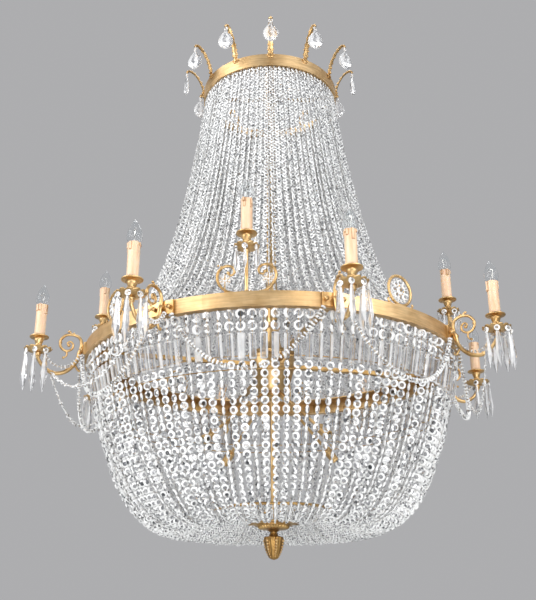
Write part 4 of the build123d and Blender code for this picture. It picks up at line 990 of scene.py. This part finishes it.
# ---------------------------------------------------------------- hub, dish, finial, inner holders
bell = [(15.7, -882.5), (20.5, -882.6), (22, -884.5), (22, -890), (20, -892), (22, -894.2), (18.6, -896),
        (19.5, -905), (21, -920), (23, -936), (27, -948), (31, -955), (33.5, -958), (37, -961),
        (37, -967.6), (15.7, -967.7)]
piece("hub_bell_turned", *lathe(bell, 56, 4), GILT, "polished_brass", nodes=("hub_bell",), smooth=True)
bowl = [(15.7, -976.3), (58.5, -976.3), (60, -978), (60, -1008), (57.5, -1012), (58.5, -1014), (55, -1026),
        (50, -1044), (45, -1060), (40.5, -1072), (38, -1075.5), (38, -1078), (20.5, -1078.2), (18.5, -1083),
        (19.8, -1086), (14, -1090), (6.6, -1092), (6.6, -1036.4), (15.7, -1036.2)]
v, f = lathe(bowl, 64, 4)
piece("hub_bowl_turned", v, f[:-2], GILT, "polished_brass", nodes=("hub_bowl",), smooth=True)


def flutes(a, s, r, z):
    """Flutes in the cove under the dish's rim."""
    k = np.clip((z - DB - 1) / 3.0, 0, 1) * np.clip((DISH_RIM - 7.5 - z) / 3.0, 0, 1) * (s > 0.5)
    return r * (1 + 0.075 * np.cos(28 * a) * k), z


DB = DISH_RIM - 18
dish = moved(((6.7, -8), (20, -7.4), (34, -6), (46, -1.6), (50.5, 0), (56, 0), (56.4, -2.4), (53.5, -4),
              (46, -4.6), (43.5, -5.2), (43.5, -7.6), (39, -8.4), (37.6, -11.5), (33, -15.4)), 0.0, DISH_RIM)
dish += [(24, DB + 0.8), (17, DB + 0.6), (12, DB), (6.7, DB)]
ds = Heap()
v, f = lathe(dish, 112, 4, flutes)
ds.add(v, f[:-2], None, [1] * (len(f) - 2))
for k in range(12):
    m = R("Z", 30 * k)
    rows = []
    for i in range(7):
        s = i / 6
        x = 50 + 17.5 * s
        w = 7.2 * math.sin(math.pi * (0.22 + 0.76 * s)) + 0.3
        top = [(x, w * c, DISH_RIM - 1.2 - 1.6 * s + 1.2 * abs(math.sin(c * 4)) - 1.2 * c * c)
               for c in np.linspace(-1, 1, 9)]
        low = [(x, w * c, DISH_RIM - 3.6) for c in np.linspace(1, -1, 9)]
        rows.append(top + low)
    v, f = rings_mesh(rows)
    ds.add(v, f, m, [0] * len(f))
ds.make("leaf_dish", (DARK, AGED), "polished_brass", nodes=("bottom_dish",), smooth=True)

FN = DB - TOUCH - 14.0


def carve(a, s, r, z):
    """Six leaf lobes with tiers and veins on the finial's acorn."""
    h = (FN - z) / 58.0
    if h[0] < -0.02:
        return r, z
    lobes = np.abs(np.cos(3 * a)) ** 0.6
    tiers = 0.5 + 0.5 * np.cos(TAU * (h * 3.2 + 0.25 * np.abs(np.cos(3 * a))))
    vein = 0.03 * np.cos(18 * a)
    return r * (0.86 + 0.10 * lobes + (0.05 * tiers + vein) * (h > 0.06)), z


fin = moved(((0.1, -0.6), (13.2, -0.7), (13.4, -2.2), (9.6, -4.4), (8.8, -7), (9.6, -10), (12.5, -11.4),
             (12.5, -12.6)), 0.0, DB)
fin += moved(((10.4, 0), (19, -1.4), (24.6, -3.2), (25.6, -6.4), (24.6, -11), (23.0, -18), (21.4, -26),
              (19.4, -34), (16.8, -42), (13.6, -49), (9.4, -54.6), (0.1, -57.8)), 0.0, FN)
RIB_BEADS = ((12, 22.6, 4.0), (19.5, 21.2, 3.6), (26.5, 19.8, 3.4), (33, 18.2, 3.1), (39, 16.2, 2.8),
             (44.5, 13.8, 2.5), (49.5, 11.0, 2.2))
fi = Heap()
v, f = lathe(fin, 120, 5, carve)
fi.add(v, f, None, [0] * len(f))
for k in range(6):
    for z, r, q in RIB_BEADS:
        fi.add(ball_v * q, ball_f, R("Z", 60 * k + 30) @ T(r + 1.4, 0, FN - z), [1] * len(ball_f))
fi.make("leaf_finial", (DARK, GILT), "polished_brass", nodes=("finial",), smooth=True)

ribs = [(0.1, 0), (9, 0.2), (11.4, 1.5)]
for k in range(6):
    ribs += [(11.9, 4 + 5.6 * k), (10.6, 6.8 + 5.6 * k)]
ribs += [(11.9, 38.5), (12, 41.8), (7.3, 41.9), (7.2, 18.3), (0.1, 18.0)]
hol = Heap()
hv, hf = lathe(ribs, 36, 3)
for m in LAMPS:
    hol.add(hv, hf, m @ T(0, 0, lamp_way - 21 + TOUCH))
hol.make("ribbed_holders", GILT, "polished_brass", nodes=("inner_lamp_holders",), smooth=True)

# ---------------------------------------------------------------- floor, light, camera
FLOOR_Z = -3.8              # metres, as all that follows
bpy.ops.mesh.primitive_plane_add(size=300, location=(0, 0, FLOOR_Z))
floor = bpy.context.object
floor.name = "studio_floor"
fm, nt, b = nodes_of("pale floor")
n = noise(nt, 6.0, 2.0)
c = ramp(nt, n.outputs["Fac"], [(0.3, (0.66, 0.66, 0.65)), (0.7, (0.70, 0.70, 0.69))])
nt.links.new(c.outputs["Color"], b.inputs["Base Color"])
b.inputs["Roughness"].default_value = 0.8
floor.data.materials.append(fm)

# backdrop for the camera and through glass, soft panels for reflections, a plain fill for the rest
world = bpy.data.worlds.new("studio")
bpy.context.scene.world = world
world.use_nodes = True
nt = world.node_tree
nt.nodes.clear()
out = nt.nodes.new("ShaderNodeOutputWorld")
bg = nt.nodes.new("ShaderNodeBackground")
bg.inputs["Color"].default_value = (0.92, 0.96, 1.0, 1)
bg.inputs["Strength"].default_value = 0.45
seen = nt.nodes.new("ShaderNodeBackground")
seen.inputs["Color"].default_value = (0.42, 0.42, 0.43, 1)
around_it = nt.nodes.new("ShaderNodeBackground")
tc = nt.nodes.new("ShaderNodeTexCoord")
mp = nt.nodes.new("ShaderNodeMapping")
mp.inputs["Scale"].default_value = (1.0, 1.0, 0.45)
nt.links.new(tc.outputs["Generated"], mp.inputs["Vector"])
panels = nt.nodes.new("ShaderNodeTexNoise")
panels.inputs["Scale"].default_value = 3.2
panels.inputs["Detail"].default_value = 1.0
nt.links.new(mp.outputs[0], panels.inputs["Vector"])
shade = ramp(nt, panels.outputs["Fac"],
             [(0.40, (0.05, 0.05, 0.055)), (0.50, (0.42, 0.42, 0.43)), (0.60, (0.86, 0.86, 0.87))])
nt.links.new(shade.outputs["Color"], around_it.inputs["Color"])
seen.inputs["Strength"].default_value = 1.0
lp = nt.nodes.new("ShaderNodeLightPath")
straight = nt.nodes.new("ShaderNodeMath")
straight.operation = "MAXIMUM"
nt.links.new(lp.outputs["Is Camera Ray"], straight.inputs[0])
nt.links.new(lp.outputs["Is Transmission Ray"], straight.inputs[1])
mix = nt.nodes.new("ShaderNodeMixShader")
nt.links.new(lp.outputs["Is Glossy Ray"], mix.inputs[0])
nt.links.new(bg.outputs[0], mix.inputs[1])
nt.links.new(around_it.outputs[0], mix.inputs[2])
last = nt.nodes.new("ShaderNodeMixShader")
nt.links.new(straight.outputs[0], last.inputs[0])
nt.links.new(mix.outputs[0], last.inputs[1])
nt.links.new(seen.outputs[0], last.inputs[2])
nt.links.new(last.outputs[0], out.inputs[0])


def area(name, loc, target, size, power, color=(1, 1, 1)):
    ld = bpy.data.lights.new(name, "AREA")
    ld.shape = "RECTANGLE"
    ld.size, ld.size_y = size
    ld.energy = power
    ld.color = color
    ob = bpy.data.objects.new(name, ld)
    bpy.context.scene.collection.objects.link(ob)
    d = (Matrix.Translation(target).translation - Matrix.Translation(loc).translation)
    ob.location = loc
    ob.rotation_euler = d.to_track_quat("-Z", "Y").to_euler()


area("key", (-3.5, -1.0, 0.5), (0, 0, -0.9), (3.0, 3.0), 140)
area("fill", (1.5, -3.6, 0.2), (0, 0, -0.9), (2.6, 2.4), 92)
area("top", (0.4, 1.2, 2.6), (0, 0, -0.6), (2.4, 1.8), 60)
area("low", (-0.8, -2.9, -2.5), (0, 0, -1.0), (2.4, 1.4), 58)

FRAME_PX, FOCAL_PX, SHIFT_PX = 600.0, 871.2, -3.63
CAMERA_AWAY, CAMERA_Z = 2.251, -1.6975
YAW, TILT, ROLL = -15.9, 21.53, -0.5
cam = bpy.data.cameras.new("camera")
co = bpy.data.objects.new("camera", cam)
bpy.context.scene.collection.objects.link(co)
cam.sensor_width = 36.0
cam.lens = FOCAL_PX / FRAME_PX * 36.0
cam.shift_x = SHIFT_PX / FRAME_PX
cam.clip_start = 0.05
yaw = math.radians(YAW)
co.matrix_world = (T(CAMERA_AWAY * math.sin(yaw), -CAMERA_AWAY * math.cos(yaw), CAMERA_Z)
                   @ R("Z", YAW) @ R("X", 90 + TILT) @ R("Z", ROLL))
bpy.context.scene.camera = co
bpy.context.scene.view_settings.view_transform = "Standard"
